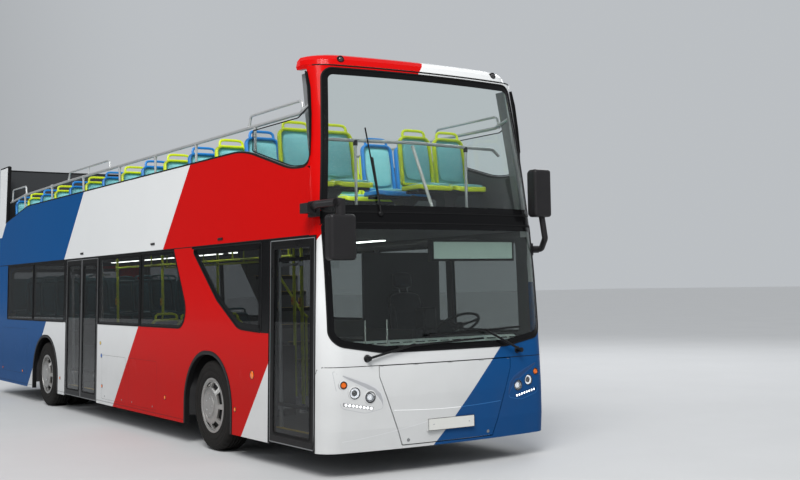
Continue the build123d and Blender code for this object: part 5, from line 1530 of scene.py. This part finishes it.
def leg(b, st, y0, y1, floor, foot):
    mid, x = (y0 + y1) / 2, X(st)
    top = floor + PAN_H - 0.052
    for dx in (0.09, 0.30):
        b.tube([(x + dx, y0 + 0.03, top - 0.016), (x + dx, y1 - 0.03, top - 0.016)], 0.015, "casting", 10)
    rows = []
    for z, w, a, c in ((foot + 0.012, 0.100, 0.075, 0.325), (foot + 0.10, 0.060, 0.120, 0.280),
                       (top - 0.10, 0.060, 0.120, 0.280), (top - 0.028, 0.110, 0.070, 0.320)):
        rows.append([(x + a, mid - w, z), (x + c, mid - w, z), (x + c, mid + w, z), (x + a, mid + w, z), (x + a, mid - w, z)])
    b.band(rows, "casting")
    b.box(x + 0.062, x + 0.338, mid - 0.108, mid + 0.108, foot + 0.0005, foot + 0.012, "casting", 0.004)
    for dx in (0.080, 0.320):
        for dy in (-0.09, 0.09):
            b.turn([(0.0, 0.010), (0.007, 0.010), (0.009, 0.006), (0.009, 0.0)], (x + dx, mid + dy, foot + 0.012), EZ, "steel", 6)


shells_u, pads_u, legs = B(), B(), B()
shells_l, pads_l = B(), B()
for i, st in enumerate(UPPER_ROWS):
    rim = "lime" if i % 2 == 0 else "blue_plastic"
    sides = [(-1.120, -0.260)]
    if not (-5.960 < st < -3.290):
        sides.append((0.260, 1.120))
    for y0, y1 in sides:
        for y in ((y0 * 3 + y1) / 4, (y0 + y1 * 3) / 4):
            single_seat(shells_u, pads_u, st, y, DECK, rim, "teal", "moquette")
        leg(legs, st, y0, y1, DECK, DECK)
rows = []
for st, fz, foot in LOWER_ROWS:
    rows.append((st, fz, foot, -1.165, -0.305))
    if st < -8.0:
        rows.append((st, fz, foot, 0.305, 1.165))
rows += [(-7.300, FLOOR, FLOOR, 0.305, 1.165), (-6.480, FLOOR, FLOOR, 0.305, 1.165)]
for st, fz, foot, y0, y1 in rows:
    for y in ((y0 * 3 + y1) / 4, (y0 + y1 * 3) / 4):
        single_seat(shells_l, pads_l, st, y, fz, "lime" if st > -5 else "dark_teal", "dark_teal", "moquette_dark")
    leg(legs, st, y0, y1, fz, foot)
# rear bench: a plinth, five cushions and five backs
bx = X(-11.000)
shells_l.box(bx + 0.010, bx + 0.405, -1.136, 1.136, BENCH + 0.001, BENCH + 0.105, "grey_plastic", 0.012)
shells_l.box(bx + 0.395, bx + 0.438, -1.138, 1.138, BENCH + 0.030, BENCH + 0.120, "dark_teal", 0.016)
rowsb = [[Vector((bx, y, BENCH + 0.150)) + UP * v + FORE * h for y in (-1.125, 1.125)] for v, h in
         ((0.0, 0.004), (0.0, 0.034), (0.52, 0.034), (0.535, 0.024), (0.535, 0.010), (0.52, 0.004))]
rowsb.append(rowsb[0])
shells_l.band(rowsb, "dark_teal", caps=False)
for k in range(5):
    y = -0.908 + 0.454 * k
    put(pads_l, PAN_PAD, PAN_F, "moquette_dark", Vector((bx + 0.225, y, BENCH + 0.124)), EX, EY, EZ, (1.12, 1.18, 1.3))
    put(pads_l, BACK_PAD, BACK_F, "moquette_dark", Vector((bx, y, BENCH + 0.150)) + UP * 0.28 + FORE * 0.050, EY, UP, FORE, (1.30, 1.15, 1.1))
o1 = shells_u.obj("upper_seat_shells", "body", "seat_shell")
o2 = shells_l.obj("lower_seat_shells", "body", "seat_shell")
o3 = legs.obj("seat_legs", "body", "seat_frame")
o4 = pads_u.obj("upper_seat_pads", "body", "cab_fabric", 60)
o5 = pads_l.obj("lower_seat_pads", "body", "cab_fabric", 60)
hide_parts("seat_pans", "seat_backs")
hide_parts("seat_pedestals")

# driver's seat
dseat, dpads = B(), B()
SY, CF = 0.640, 0.560
x0, x1 = X(-1.480), X(-1.200)
dseat.box(x0 + 0.01, x1 - 0.01, SY - 0.135, SY + 0.135, CF + 0.0005, CF + 0.045, "casting", 0.008)
rows = []
for k in range(9):
    z = CF + 0.045 + 0.024 * k
    w = 0.125 if k % 2 == 0 else 0.098
    xx = 0.012 if k % 2 == 0 else 0.038
    rows.append([(x0 + xx, SY - w, z), (x1 - xx, SY - w, z), (x1 - xx, SY + w, z), (x0 + xx, SY + w, z), (x0 + xx, SY - w, z)])
dseat.band(rows, "rubber")
dseat.box(X(-1.570), X(-1.095), SY - 0.225, SY + 0.225, 0.862, 0.905, "plastic_black", 0.014)
DU = Vector((-0.140, 0, 0.660)).normalized()
DF = Vector((0.660, 0, 0.140)).normalized()
ob = Vector((X(-1.580), SY, 0.980))
rows = [[ob + EY * u + DU * v + DF * h for u, v in offset(rounded([(-.215, 0), (.215, 0), (.180, .655), (-.180, .655)], [.04, .04, .10, .10], 6), d)]
        for d, h in ((0.0, 0.004), (0.0, 0.022), (0.012, 0.030))]
rows = [r + [r[0]] for r in rows]
dseat.band(rows, "plastic_black")
shell_line = rounded([(-.215, 0), (.215, 0), (.180, .655), (-.180, .655)], [.04, .04, .10, .10], 6)
dseat.plate(shell_line, lambda u, v, h: ob + EY * u + DU * v + DF * (0.003 + h), 0.010, "plastic_black")
for sg in (-1, 1):
    dseat.rod(ob + EY * (sg * 0.05) + DU * 0.63 + DF * 0.045, ob + EY * (sg * 0.05) + DU * 0.74 + DF * 0.045, 0.007, "chrome", 10)
    # armrest
    dseat.box(X(-1.52), X(-1.24), SY + sg * 0.245 - 0.022, SY + sg * 0.245 + 0.022, 1.13, 1.165, "plastic_black", 0.012)
put(dpads, PAN_PAD, PAN_F, "cab_cloth", (X(-1.325), SY, 0.940), EX, EY, EZ, (1.28, 1.24, 1.8))
put(dpads, BACK_PAD, BACK_F, "cab_cloth", ob + DU * 0.335 + DF * 0.052, EY, DU, DF, (1.24, 1.44, 1.9))
put(dpads, HEAD_PAD, HEAD_F, "cab_cloth", ob + DU * 0.765 + DF * 0.045, EY, DU, DF, (1.0, 0.95, 0.9))
# side bolsters
for sg in (-1, 1):
    put(dpads, HEAD_PAD, HEAD_F, "cab_cloth", ob + DU * 0.30 + DF * 0.070 + EY * (sg * 0.190), EY, DU, DF, (0.26, 2.2, 0.8))
od = dseat.obj("driver_seat_frame", "body", "cab_fabric")
op = dpads.obj("driver_seat_pads", "body", "cab_fabric", 60)
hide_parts("driver_seat")

# ------------------------------------------------------------ cab and saloon
cab = B()
# instrument cluster, switches and vents on the binnacle and the dashboard
a, bq = Vector((X(-0.480), 0, 1.190)), Vector((X(-0.690), 0, 1.106))
dv = (bq - a).normalized()
dn = Vector((-dv.z, 0, dv.x))
if dn.z < 0:
    dn = -dn
for y, r in ((0.560, 0.055), (0.700, 0.055), (0.445, 0.032), (0.815, 0.032)):
    p = a + dv * 0.105 + EY * y
    cab.turn([(0.0, r + 0.006), (0.006, r + 0.006), (0.009, r), (0.003, r - 0.004)], p, dn, "chrome", 32)
    cab.turn([(0.0035, r - 0.003), (0.0038, 0.0)], p, dn, "rubber", 32)
    cab.turn([(0.0045, 0.006), (0.0055, 0.004), (0.006, 0.0)], p, dn, "white_plastic", 12)
    ang = 2.4
    cab.rod(p + dn * 0.0045, p + dn * 0.0045 + (EY * cos(ang) + dv * -sin(ang)) * (r * 0.8), 0.0012, "amber", 6)
rowh = []
for y in np.linspace(0.385, 0.885, 14):
    k = 1 - ((y - 0.635) / 0.26) ** 2
    p = a + EY * y
    rowh.append([p + dn * 0.002 + dv * 0.0, p + dn * (0.030 + 0.016 * k), p + dn * (0.034 + 0.016 * k) + dv * 0.055,
                 p + dn * (0.024 + 0.014 * k) + dv * 0.060, p + dn * (0.020 + 0.012 * k) + dv * 0.008])
cab.band(rowh, "dash", caps=True)
for k in range(7):
    y = 0.365 + 0.022 * (k % 2)
    p = a + dv * (0.045 + 0.022 * k) + EY * 0.362
    cab.box(p.x - 0.008, p.x + 0.008, 0.350, 0.378, p.z - 0.004, p.z + 0.012, "grey_plastic", 0.003)
    cab.box(p.x - 0.008, p.x + 0.008, 0.905, 0.933, p.z - 0.004, p.z + 0.012, "grey_plastic", 0.003)
# demister slots along the dashboard top
for y in np.linspace(-0.98, 0.98, 15):
    cab.box(X(-0.240), X(-0.215), y - 0.048, y + 0.048, 1.1540, 1.1610, "rubber", 0.001)
# pale cover on the ledge behind the lower screen
rows = [[(X(-0.112) - y * y / 14.0, y, 1.080), (X(-0.120) - y * y / 14.0, y, 1.122), (X(-0.145) - y * y / 14.0, y, 1.136),
         (X(-0.312), y, 1.180), (X(-0.324), y, 1.176), (X(-0.327), y, 1.120)] for y in np.linspace(-1.045, 1.045, 36)]
cab.band(rows, "ledge")
# ticket machine on its stalk
cab.box(X(-0.78), X(-0.60), 0.175, 0.325, 1.245, 1.460, "plastic_black", 0.018)
cab.box(X(-0.785), X(-0.781), 0.195, 0.305, 1.330, 1.435, "display", 0.0015)
# hand brake knob, pedals
cab.rod((X(-0.60), 0.905, 1.135), (X(-0.62), 0.905, 1.185), 0.008, "chrome", 10)
cab.turn([(0.0, 0.010), (0.006, 0.018), (0.020, 0.019), (0.028, 0.010), (0.030, 0.0)], (X(-0.62), 0.905, 1.180), EZ, "plastic_black", 20)
for y, w in ((0.515, 0.05), (0.655, 0.055)):
    cab.band([[(X(-0.60) + dx, y - w, 0.585 + dz), (X(-0.60) + dx, y + w, 0.585 + dz)] for dx, dz in
              ((0.0, 0.0), (0.004, 0.012), (0.150, 0.105), (0.158, 0.092), (0.010, -0.004), (0.0, 0.0))], "rubber", caps=True)
cab.rod((X(-0.500), 0.655, 0.640), (X(-0.345), 0.655, 0.80), 0.008, "casting", 8)
cab.obj("cab_fittings", "body", "dash_plastic")
# the wheel's centre pad and three spokes ride with the wheel
TILT = radians(32)
COL = Vector((-sin(TILT), 0, cos(TILT)))
WC = Vector((X(-0.690), 0.640, 1.275))
wheel = B()
wheel.turn([(-0.030, 0.050), (-0.006, 0.062), (0.004, 0.058), (0.009, 0.036), (0.010, 0.0)], WC, COL, "plastic_black", 36)
for k in range(3):
    t = radians((90, 210, 330)[k])
    ex, ey = Vector((0, 1, 0)), COL.cross(Vector((0, 1, 0)))
    d = ex * cos(t) + ey * sin(t)
    w = COL.cross(d)
    rowp = []
    for q, hw_, h in ((0.045, 0.026, 0.002), (0.12, 0.017, 0.000), (0.206, 0.022, 0.004)):
        c0 = WC + d * q + COL * (-0.012 + h)
        rowp.append([c0 - w * hw_, c0 - w * hw_ * 0.8 + COL * 0.008, c0 + w * hw_ * 0.8 + COL * 0.008, c0 + w * hw_,
                     c0 + w * hw_ * 0.8 - COL * 0.004, c0 - w * hw_ * 0.8 - COL * 0.004, c0 - w * hw_])
    wheel.band(rowp, "plastic_black")
wheel.obj("steering_wheel_pad", "steering_wheel", "dash_plastic")

# display: pale blank window in a dark case
disp = B()
disp.box(X(-0.2352), X(-0.2340), 0.040, 0.990, 1.925, 2.092, "display")
disp.ring([(0.030, 1.915), (1.000, 1.915), (1.000, 2.100), (0.030, 2.100)], lambda u, v, o: (X(-0.2350) + o, u, v), 0.012, 0.0035, "plastic_black")
disp.obj("display_window", "body", "display_black")
set_material("destination_display", "plastic_black")

saloon = B()
# two rows of ceiling lamps, hand rails with straps' brackets left plain
for y in (-0.62, 0.62):
    for a_, b_ in ((-10.9, -9.6), (-9.3, -8.0), (-7.7, -6.3), (-6.0, -4.7) if y < 0 else (-6.0, -5.5), (-4.4, -3.4), (-3.0, -2.0)):
        if y > 0 and a_ > -4.5:
            a_, b_ = a_ + (1.15 if a_ < -4 else 0.0), b_ + (0.10 if a_ < -4 else 0.0)
        if b_ - a_ < 0.2:
            continue
        saloon.box(X(a_), X(b_), y - 0.060, y + 0.060, 2.186, 2.2045, "lining", 0.006)
        saloon.box(X(a_) + 0.03, X(b_) - 0.03, y - 0.042, y + 0.042, 2.178, 2.187, "tube", 0.004)
# rails under the ceiling
for y in (-0.46, 0.30):
    saloon.tube([(X(-7.60), y, 2.02), (X(-2.10), y, 2.02)], 0.014, "lime", 12)
    for st in (-7.55, -6.2, -4.9, -3.6, -2.2):
        saloon.rod((X(st), y, 2.02), (X(st), y, 2.2045), 0.010, "lime", 10)
# lime sleeves and collars on the poles
for st, yy, fz in ((-1.990, -0.420, FLOOR), (-3.420, 0.250, FLOOR), (-5.900, -0.420, FLOOR),
                   (-5.900, 0.380, FLOOR), (-7.560, -0.460, FLOOR), (-9.560, 0.240, PLATFORM)):
    saloon.turn([(0.02, 0.0165), (0.02, 0.0185), (DECK - 0.08 - fz, 0.0185), (DECK - 0.08 - fz, 0.0165)],
                (X(st), yy, fz), EZ, "lime", 20)
    saloon.turn([(0.0005, 0.045), (0.008, 0.045), (0.016, 0.030), (0.018, 0.019)], (X(st), yy, fz), EZ, "steel", 24)
    saloon.turn([(-0.0005, 0.045), (-0.008, 0.045), (-0.016, 0.030), (-0.018, 0.019)], (X(st), yy, 2.205), EZ, "steel", 24)
    # stop button
    saloon.box(X(st) - 0.024, X(st) + 0.026, yy - 0.034, yy - 0.012, fz + 1.10, fz + 1.20, "yellow", 0.008)
    saloon.turn([(0.0, 0.013), (0.004, 0.011), (0.005, 0.0)], (X(st), yy - 0.034, fz + 1.15), (0, -1, 0), "red_lens", 18)
# step edges of the platform and the rear bench floor
for st, z in ((-7.640, PLATFORM), (-10.200, BENCH)):
    saloon.box(X(st) - 0.045, X(st) + 0.0025, -0.58, 0.58, z + 0.0005, z + 0.0045, "yellow", 0.001)
# stair nosings and the stairs' outer hand rail
sx = X(-3.350 - 0.230)
RISE, GOING = (DECK - FLOOR) / 9, 0.232
for i in range(8):
    z = FLOOR + (i + 1) * RISE
    saloon.box(sx - i * GOING - 0.040, sx - i * GOING + 0.002, 0.505, 1.125, z + 0.0005, z + 0.004, "yellow", 0.001)
    saloon.box(sx - i * GOING + 0.0005, sx - i * GOING + 0.0025, 0.505, 1.125, z - 0.045, z - 0.002, "rubber", 0.0005)
saloon.tube([(sx + 0.05, 0.480, FLOOR + 0.95), (sx - 0.10, 0.480, FLOOR + 1.02), (sx - 6.0 * GOING, 0.480, FLOOR + 1.02 + 5.6 * RISE - 0.18)],
            0.016, "lime", 12)
for dx, dz in ((0.02, 0.94),):
    saloon.rod((sx + dx, 0.480, FLOOR + 0.0005), (sx + dx, 0.480, FLOOR + dz), 0.016, "lime", 12)
# side ledge heaters under the windows
for sg, spans in ((-1, [(-7.3 + 1.3, -3.25)]), (1, [(-7.60, -5.9)])):
    for a_, b_ in spans:
        saloon.box(X(a_), X(b_), sg * 1.180, sg * 1.222, FLOOR + 0.03, FLOOR + 0.17, "grey_plastic", 0.012)
saloon.obj("saloon_fittings", "body", "rail_metal")

# --------------------------------------------------- upper deck rails and edge
deckb = B()
POSTS = [-1.580, -3.055, -4.275, -5.520, -7.000, -8.500, -9.990]
for s in (-1, 1):
    y = s * (hw(3.285) - 0.062)
    for st in POSTS:
        foot = PARAPET if -9.650 < st < -1.650 else (3.032 if st > -2.0 else 3.000)
        top = 3.285 if st > -9 else 3.262
        # collar under the rail, sleeve at the bracket, bolts on the wall
        deckb.turn([(-0.045, 0.0145), (-0.043, 0.0180), (-0.012, 0.0200), (-0.004, 0.0145)], (X(st), y, top), EZ, "steel", 20)
        deckb.tube([(X(st) - 0.024, y, top), (X(st) + 0.024, y, top)], 0.0195, "steel", 18)
        deckb.turn([(0.0, 0.022), (0.030, 0.022), (0.036, 0.015)], (X(st), y, foot - 0.078), EZ, "steel", 20)
        yb = s * (hw(foot - 0.06) - 0.045 - 0.0005)
        deckb.box(X(st) - 0.050, X(st) + 0.050, yb - s * 0.0005, yb - s * 0.007, foot - 0.150, foot - 0.062, "steel", 0.003)
        for dx in (-0.036, 0.036):
            for dz in (-0.136, -0.074):
                deckb.turn([(0.0, 0.007), (0.004, 0.007), (0.006, 0.004), (0.006, 0.0)], (X(st) + dx, yb - s * 0.007, foot + dz), (0, -s, 0), "chrome", 10)
    # sleeves where the loops meet the rail
    for a_, b_ in ((-1.720, -0.580), (-7.660, -5.880), (-10.750, -9.900)):
        for st in (a_, b_):
            zr = 3.285 if -7.7 < st < -0.64 else (3.262 - (3.262 - 3.19) * max(0.0, (-10.0 - st)) if st < -10.0 else
                                                   (3.285 - 0.023 * max(0.0, (-7.7 - st)) / 2.3 if st < -7.7 else 3.30))
            deckb.tube([(X(st) - 0.030, y, zr), (X(st) + 0.030, y, zr)], 0.0190, "steel", 18)
            deckb.turn([(0.010, 0.0185), (0.030, 0.0170), (0.034, 0.0135)], (X(st), y, zr), EZ, "steel", 18)
    # inner lining and kick plate of the parapet
    deckb.band([[(X(st), s * (hw(z) - 0.0455 - o), z) for st in np.linspace(-11.0, -1.70, 30)] for z, o in
                ((2.290, 0.0005), (2.292, 0.010), (2.395, 0.010), (2.400, 0.0005))], "grey_plastic", caps=True)
    deckb.band([[(X(st), s * (hw(z) - 0.0455 - o), z) for st in np.linspace(-10.4, -1.75, 30)] for z, o in
                ((2.420, 0.0003), (2.425, 0.004), (2.955, 0.004), (2.960, 0.0003))], "lining", caps=True)
    # small deck lamps
    for st in (-2.3, -4.9, -7.6, -10.2):
        p = (X(st), s * (hw(2.345) - 0.0560), 2.345)
        deckb.turn([(0.0, 0.028), (0.005, 0.027), (0.007, 0.022)], p, (0, -s, 0), "chrome", 22)
        deckb.turn([(0.005, 0.022), (0.008, 0.012), (0.0085, 0.0)], p, (0, -s, 0), "white_lens", 18)
# flanges of the stair guard and well trim
for st, yy in ((-5.480, 1.080), (-5.480, 0.540), (-3.970, 0.450), (-4.800, 0.450)):
    deckb.turn([(0.0005, 0.042), (0.006, 0.042), (0.012, 0.026), (0.016, 0.015)], (X(st), yy, DECK), EZ, "steel", 24)
    deckb.turn([(-0.040, 0.0145), (-0.036, 0.0185), (-0.010, 0.0190), (-0.004, 0.0145)], (X(st), yy, DECK + 0.900), EZ, "steel", 18)
for a_, b_, c_, d_ in ((-5.440, -3.350, 0.466, 0.480), (-5.454, -5.440, 0.466, 1.150), (-3.350, -3.336, 0.466, 1.150)):
    deckb.box(X(a_), X(b_), c_, d_, DECK + 0.0005, DECK + 0.030, "steel", 0.003)
deckb.box(X(-5.440) + 0.002, X(-5.440) + 0.004, 0.482, 1.148, DECK - 0.055, DECK - 0.002, "yellow", 0.0008)
# glass guard panels along the well
for a_, b_ in ((-5.40, -4.86), (-4.74, -4.03)):
    pl = rounded([(a_, 2.36), (b_, 2.36), (b_, 3.06), (a_, 3.06)], 0.04, 5)
    deckb.plate(pl, lambda u, v, o: (X(u), 0.447 + o, v), 0.006, "lens")
    for st in (a_ - 0.02, b_ + 0.02):
        for z in (2.45, 2.97):
            deckb.box(X(st) - 0.022, X(st) + 0.022, 0.440, 0.462, z - 0.02, z + 0.02, "steel", 0.004)
# aisle strip and joints of the floor covering
for y in (-0.235, 0.235):
    deckb.box(X(-11.30), X(-0.45), y - 0.010, y + 0.010, DECK + 0.0004, DECK + 0.0022, "grey_plastic", 0.0006)
for k in range(7):
    st = -1.9 - 1.47 * k
    deckb.box(X(st) - 0.003, X(st) + 0.003, -1.165, 0.46 if -5.5 < st < -3.3 else 1.165, DECK + 0.0003, DECK + 0.0012, "rubber")
# drain grates
for st in (-0.62, -11.05):
    for sg in (-1, 1):
        for k in range(6):
            deckb.box(X(st) - 0.05 + 0.017 * k, X(st) - 0.043 + 0.017 * k, sg * 1.02, sg * 1.12, DECK + 0.0004, DECK + 0.0030, "steel", 0.0008)
deckb.obj("deck_fittings", "body", "rail_metal")

# ----------------------------------------------------------------- underbody
under = B()


def bellows(x, y, z0, z1, r):
    prof = [(0.0, 0.0), (0.0, r * 0.7), (0.012, r * 0.75)]
    h = z1 - z0
    for k in range(13):
        t = k / 12
        prof.append((0.014 + (h - 0.028) * t, r * (0.86 + 0.14 * sin(t * pi * 3) ** 2)))
    prof += [(h - 0.010, r * 0.75), (h, r * 0.7), (h, 0.0)]
    under.turn(prof, (x, y, z0), EZ, "rubber", 28)


for s in (-1, 1):
    for dx in (-0.27, 0.27):
        under.box(RX + dx - 0.10, RX + dx + 0.10, s * 0.385, s * 0.455, 0.420, 0.440, "casting", 0.004)
        bellows(RX + dx, s * 0.420, 0.441, 0.699, 0.095)
        under.box(RX + min(0, dx), RX + max(0, dx), s * 0.395, s * 0.445, 0.395, 0.4195, "casting", 0.006)
    # shock absorbers
    under.rod((RX + 0.15, s * 0.330, 0.40), (RX + 0.30, s * 0.330, 0.72), 0.030, "casting", 16)
    under.rod((RX + 0.24, s * 0.330, 0.60), (RX + 0.33, s * 0.330, 0.78), 0.040, "chassis", 16)
# propeller shaft between the engine and the axle
under.tube([(X(-10.288), 0.0, 0.545), (RX - 0.175, 0.0, 0.480)], 0.048, "casting", 20)
for x, z in ((X(-10.26), 0.544), (RX - 0.215, 0.482)):
    under.turn([(-0.03, 0.050), (-0.03, 0.070), (0.03, 0.070), (0.03, 0.050)], (x, 0, z), EX, "casting", 20)
# tanks and air reservoirs between the rails
def tank(x0_, x1_, y, z, r, key="chassis"):
    prof = [(0.0, 0.0), (0.006, r * 0.55), (0.030, r * 0.88), (0.060, r)]
    L = x1_ - x0_
    prof += [(L - 0.060, r), (L - 0.030, r * 0.88), (L - 0.006, r * 0.55), (L, 0.0)]
    under.turn(prof, (x0_, y, z), EX, key, 30)
    for k in (0.22, 0.78):
        under.turn([(-0.015, r), (-0.015, r + 0.003), (0.015, r + 0.003), (0.015, r)], (x0_ + L * k, y, z), EX, "steel", 30)


# floor is low between the axles: flat trays, hoses and cable ducts
for st0, st1, y0, y1 in ((-4.85, -3.85, -0.35, 0.35), (-6.0, -5.12, -0.35, 0.35), (-7.45, -6.22, -0.35, 0.35)):
    under.box(X(st0), X(st1), y0, y1, 0.290, 0.333, "chassis", 0.010)
    for k in range(6):
        x = X(st0) + (st1 - st0) * (k + 0.5) / 6
        under.box(x - 0.012, x + 0.012, y0 + 0.03, y1 - 0.03, 0.284, 0.2895, "chassis", 0.003)
for y in (-0.372, 0.372):
    under.tube([(X(-7.45), y, 0.318), (X(-1.35), y, 0.318)], 0.010, "rubber", 8)
tank(X(-7.55), X(-6.95), -0.80, 0.290, 0.040)
tank(X(-5.95), X(-5.10), 0.78, 0.292, 0.038)
tank(X(-5.95), X(-5.10), 0.90, 0.292, 0.038)
# exhaust silencer and tail pipe beside the engine
under.turn([(0.0, 0.0), (0.004, 0.10), (0.02, 0.125), (0.66, 0.125), (0.676, 0.10), (0.68, 0.0)], (X(-11.28), -0.80, 0.520), EX, "steel", 30)
under.tube([(X(-11.27), -0.80, 0.46), (X(-11.36), -0.80, 0.40), (X(-11.45), -0.80, 0.33), (X(-11.50), -0.80, 0.300)], 0.042, "steel", 16)
# engine block: rocker cover, belts, sump ribs
under.box(X(-11.36), X(-10.45), -0.30, 0.30, 1.1705, 1.193, "engine", 0.010)
for k in range(9):
    x = X(-11.30) + 0.105 * k
    under.box(x - 0.012, x + 0.012, -0.46, 0.72, 0.338, 0.3448, "engine", 0.002)
for y, z, r in ((-0.10, 0.60, 0.10), (0.25, 0.62, 0.075), (0.10, 0.90, 0.085), (0.48, 0.82, 0.06)):
    under.turn([(0.0, r * 0.9), (-0.006, r), (-0.020, r), (-0.026, r * 0.82), (-0.020, r * 0.3), (-0.026, 0.0)], (X(-11.4005), y, z), EX, "casting", 32)
under.obj("underbody_parts", "body", "chassis_black")

# steering arms that ride with the knuckles
for s, word in ((-1, "right"), (1, "left")):
    k = B()
    k.tube([(FX - 0.055, s * 0.930, 0.42), (FX - 0.16, s * 0.918, 0.40), (FX - 0.23, s * 0.900, 0.395)], 0.0, "casting", 12, flat=(0.020, 0.014))
    k.turn([(-0.020, 0.020), (-0.010, 0.026), (0.010, 0.026), (0.022, 0.016), (0.026, 0.0)], (FX - 0.23, s * 0.900, 0.395), EZ, "steel", 20)
    k.turn([(0.0, 0.030), (0.006, 0.030), (0.010, 0.020), (0.011, 0.0)], (FX, s * 0.895, 0.600), EZ, "steel", 20)
    k.obj(word + "_steering_arm", word + "_knuckle", "axle_grey")

# --------------------------------------------------------- camera and lights
cam = bpy.data.cameras.new("camera")
cam.lens, cam.sensor_width = 50.47, 36.0
cam.clip_end = 900.0
co = bpy.data.objects.new("camera", cam)
yaw, pitch, roll = radians(146.585), radians(2.348), radians(-1.106)
d = Vector((cos(yaw) * cos(pitch), sin(yaw) * cos(pitch), sin(pitch)))
r0 = d.cross(EZ).normalized()
u0 = r0.cross(d)
r_ = r0 * cos(roll) + u0 * sin(roll)
u_ = u0 * cos(roll) - r0 * sin(roll)
m = Matrix((r_, u_, -d)).transposed().to_4x4()
m.translation = Vector((14.119, -6.050, 1.677))
co.matrix_world = m
bpy.context.scene.collection.objects.link(co)
bpy.context.scene.camera = co

world = bpy.data.worlds.new("studio")
bpy.context.scene.world = world
world.use_nodes = True
bg = world.node_tree.nodes["Background"]
bg.inputs[0].default_value = (0.86, 0.90, 0.94, 1)
wt = world.node_tree
wc = wt.nodes.new("ShaderNodeTexCoord")
wd = wt.nodes.new("ShaderNodeVectorMath")
wd.operation = "DOT_PRODUCT"
wd.inputs[1].default_value = (-0.80, -0.60, 0.0)
wr = wt.nodes.new("ShaderNodeMapRange")
wr.interpolation_type = "SMOOTHSTEP"
wr.inputs["From Min"].default_value = 0.50
wr.inputs["From Max"].default_value = 0.92
wr.inputs["To Min"].default_value = 0.58
wr.inputs["To Max"].default_value = 0.14
wt.links.new(wc.outputs["Generated"], wd.inputs[0])
wt.links.new(wd.outputs["Value"], wr.inputs["Value"])
wt.links.new(wr.outputs["Result"], bg.inputs[1])
bpy.context.scene.view_settings.view_transform = "Standard"
bpy.context.scene.view_settings.look = "None"


def lamp(name, loc, at, size, power, color=(1, 1, 1)):
    l = bpy.data.lights.new(name, "AREA")
    l.shape, l.size, l.energy, l.color = "DISK", size, power, color
    o = bpy.data.objects.new(name, l)
    o.location = loc
    o.rotation_euler = (Vector(at) - Vector(loc)).to_track_quat("-Z", "Y").to_euler()
    bpy.context.scene.collection.objects.link(o)


lamp("key", (13.0, -9.0, 13.0), (1.0, 0, 1.5), 8.0, 1500.0, (1.0, 0.985, 0.96))
lamp("fill", (-7.0, -14.0, 9.0), (0, 0, 1.5), 8.0, 450.0, (0.94, 0.97, 1.0))
lamp("back", (-4.0, 13.0, 12.0), (0, 0, 1.5), 9.0, 900.0, (0.97, 0.98, 1.0))
sl = bpy.data.lights.new("sky_light", "SUN")
sl.energy, sl.angle = 1.5, radians(24)
so = bpy.data.objects.new("sky_light", sl)
so.rotation_euler = Vector((-0.58, 0.42, -0.70)).to_track_quat("-Z", "Y").to_euler()
bpy.context.scene.collection.objects.link(so)

floor_me = bpy.data.meshes.new("studio_floor")
S = 190.0
floor_me.from_pydata([(-S, -S, 0), (S, -S, 0), (S, S, 0), (-S, S, 0)], [], [(0, 1, 2, 3)])
M["studio"] = plain("studio_floor", (0.52, 0.525, 0.53), 0.85, vary=0.05, scale=0.6, grain=120, bump=0.1)
floor_me.materials.append(M["studio"])
fo = bpy.data.objects.new("studio_floor", floor_me)
bpy.context.scene.collection.objects.link(fo)

bpy.context.view_layer.update()
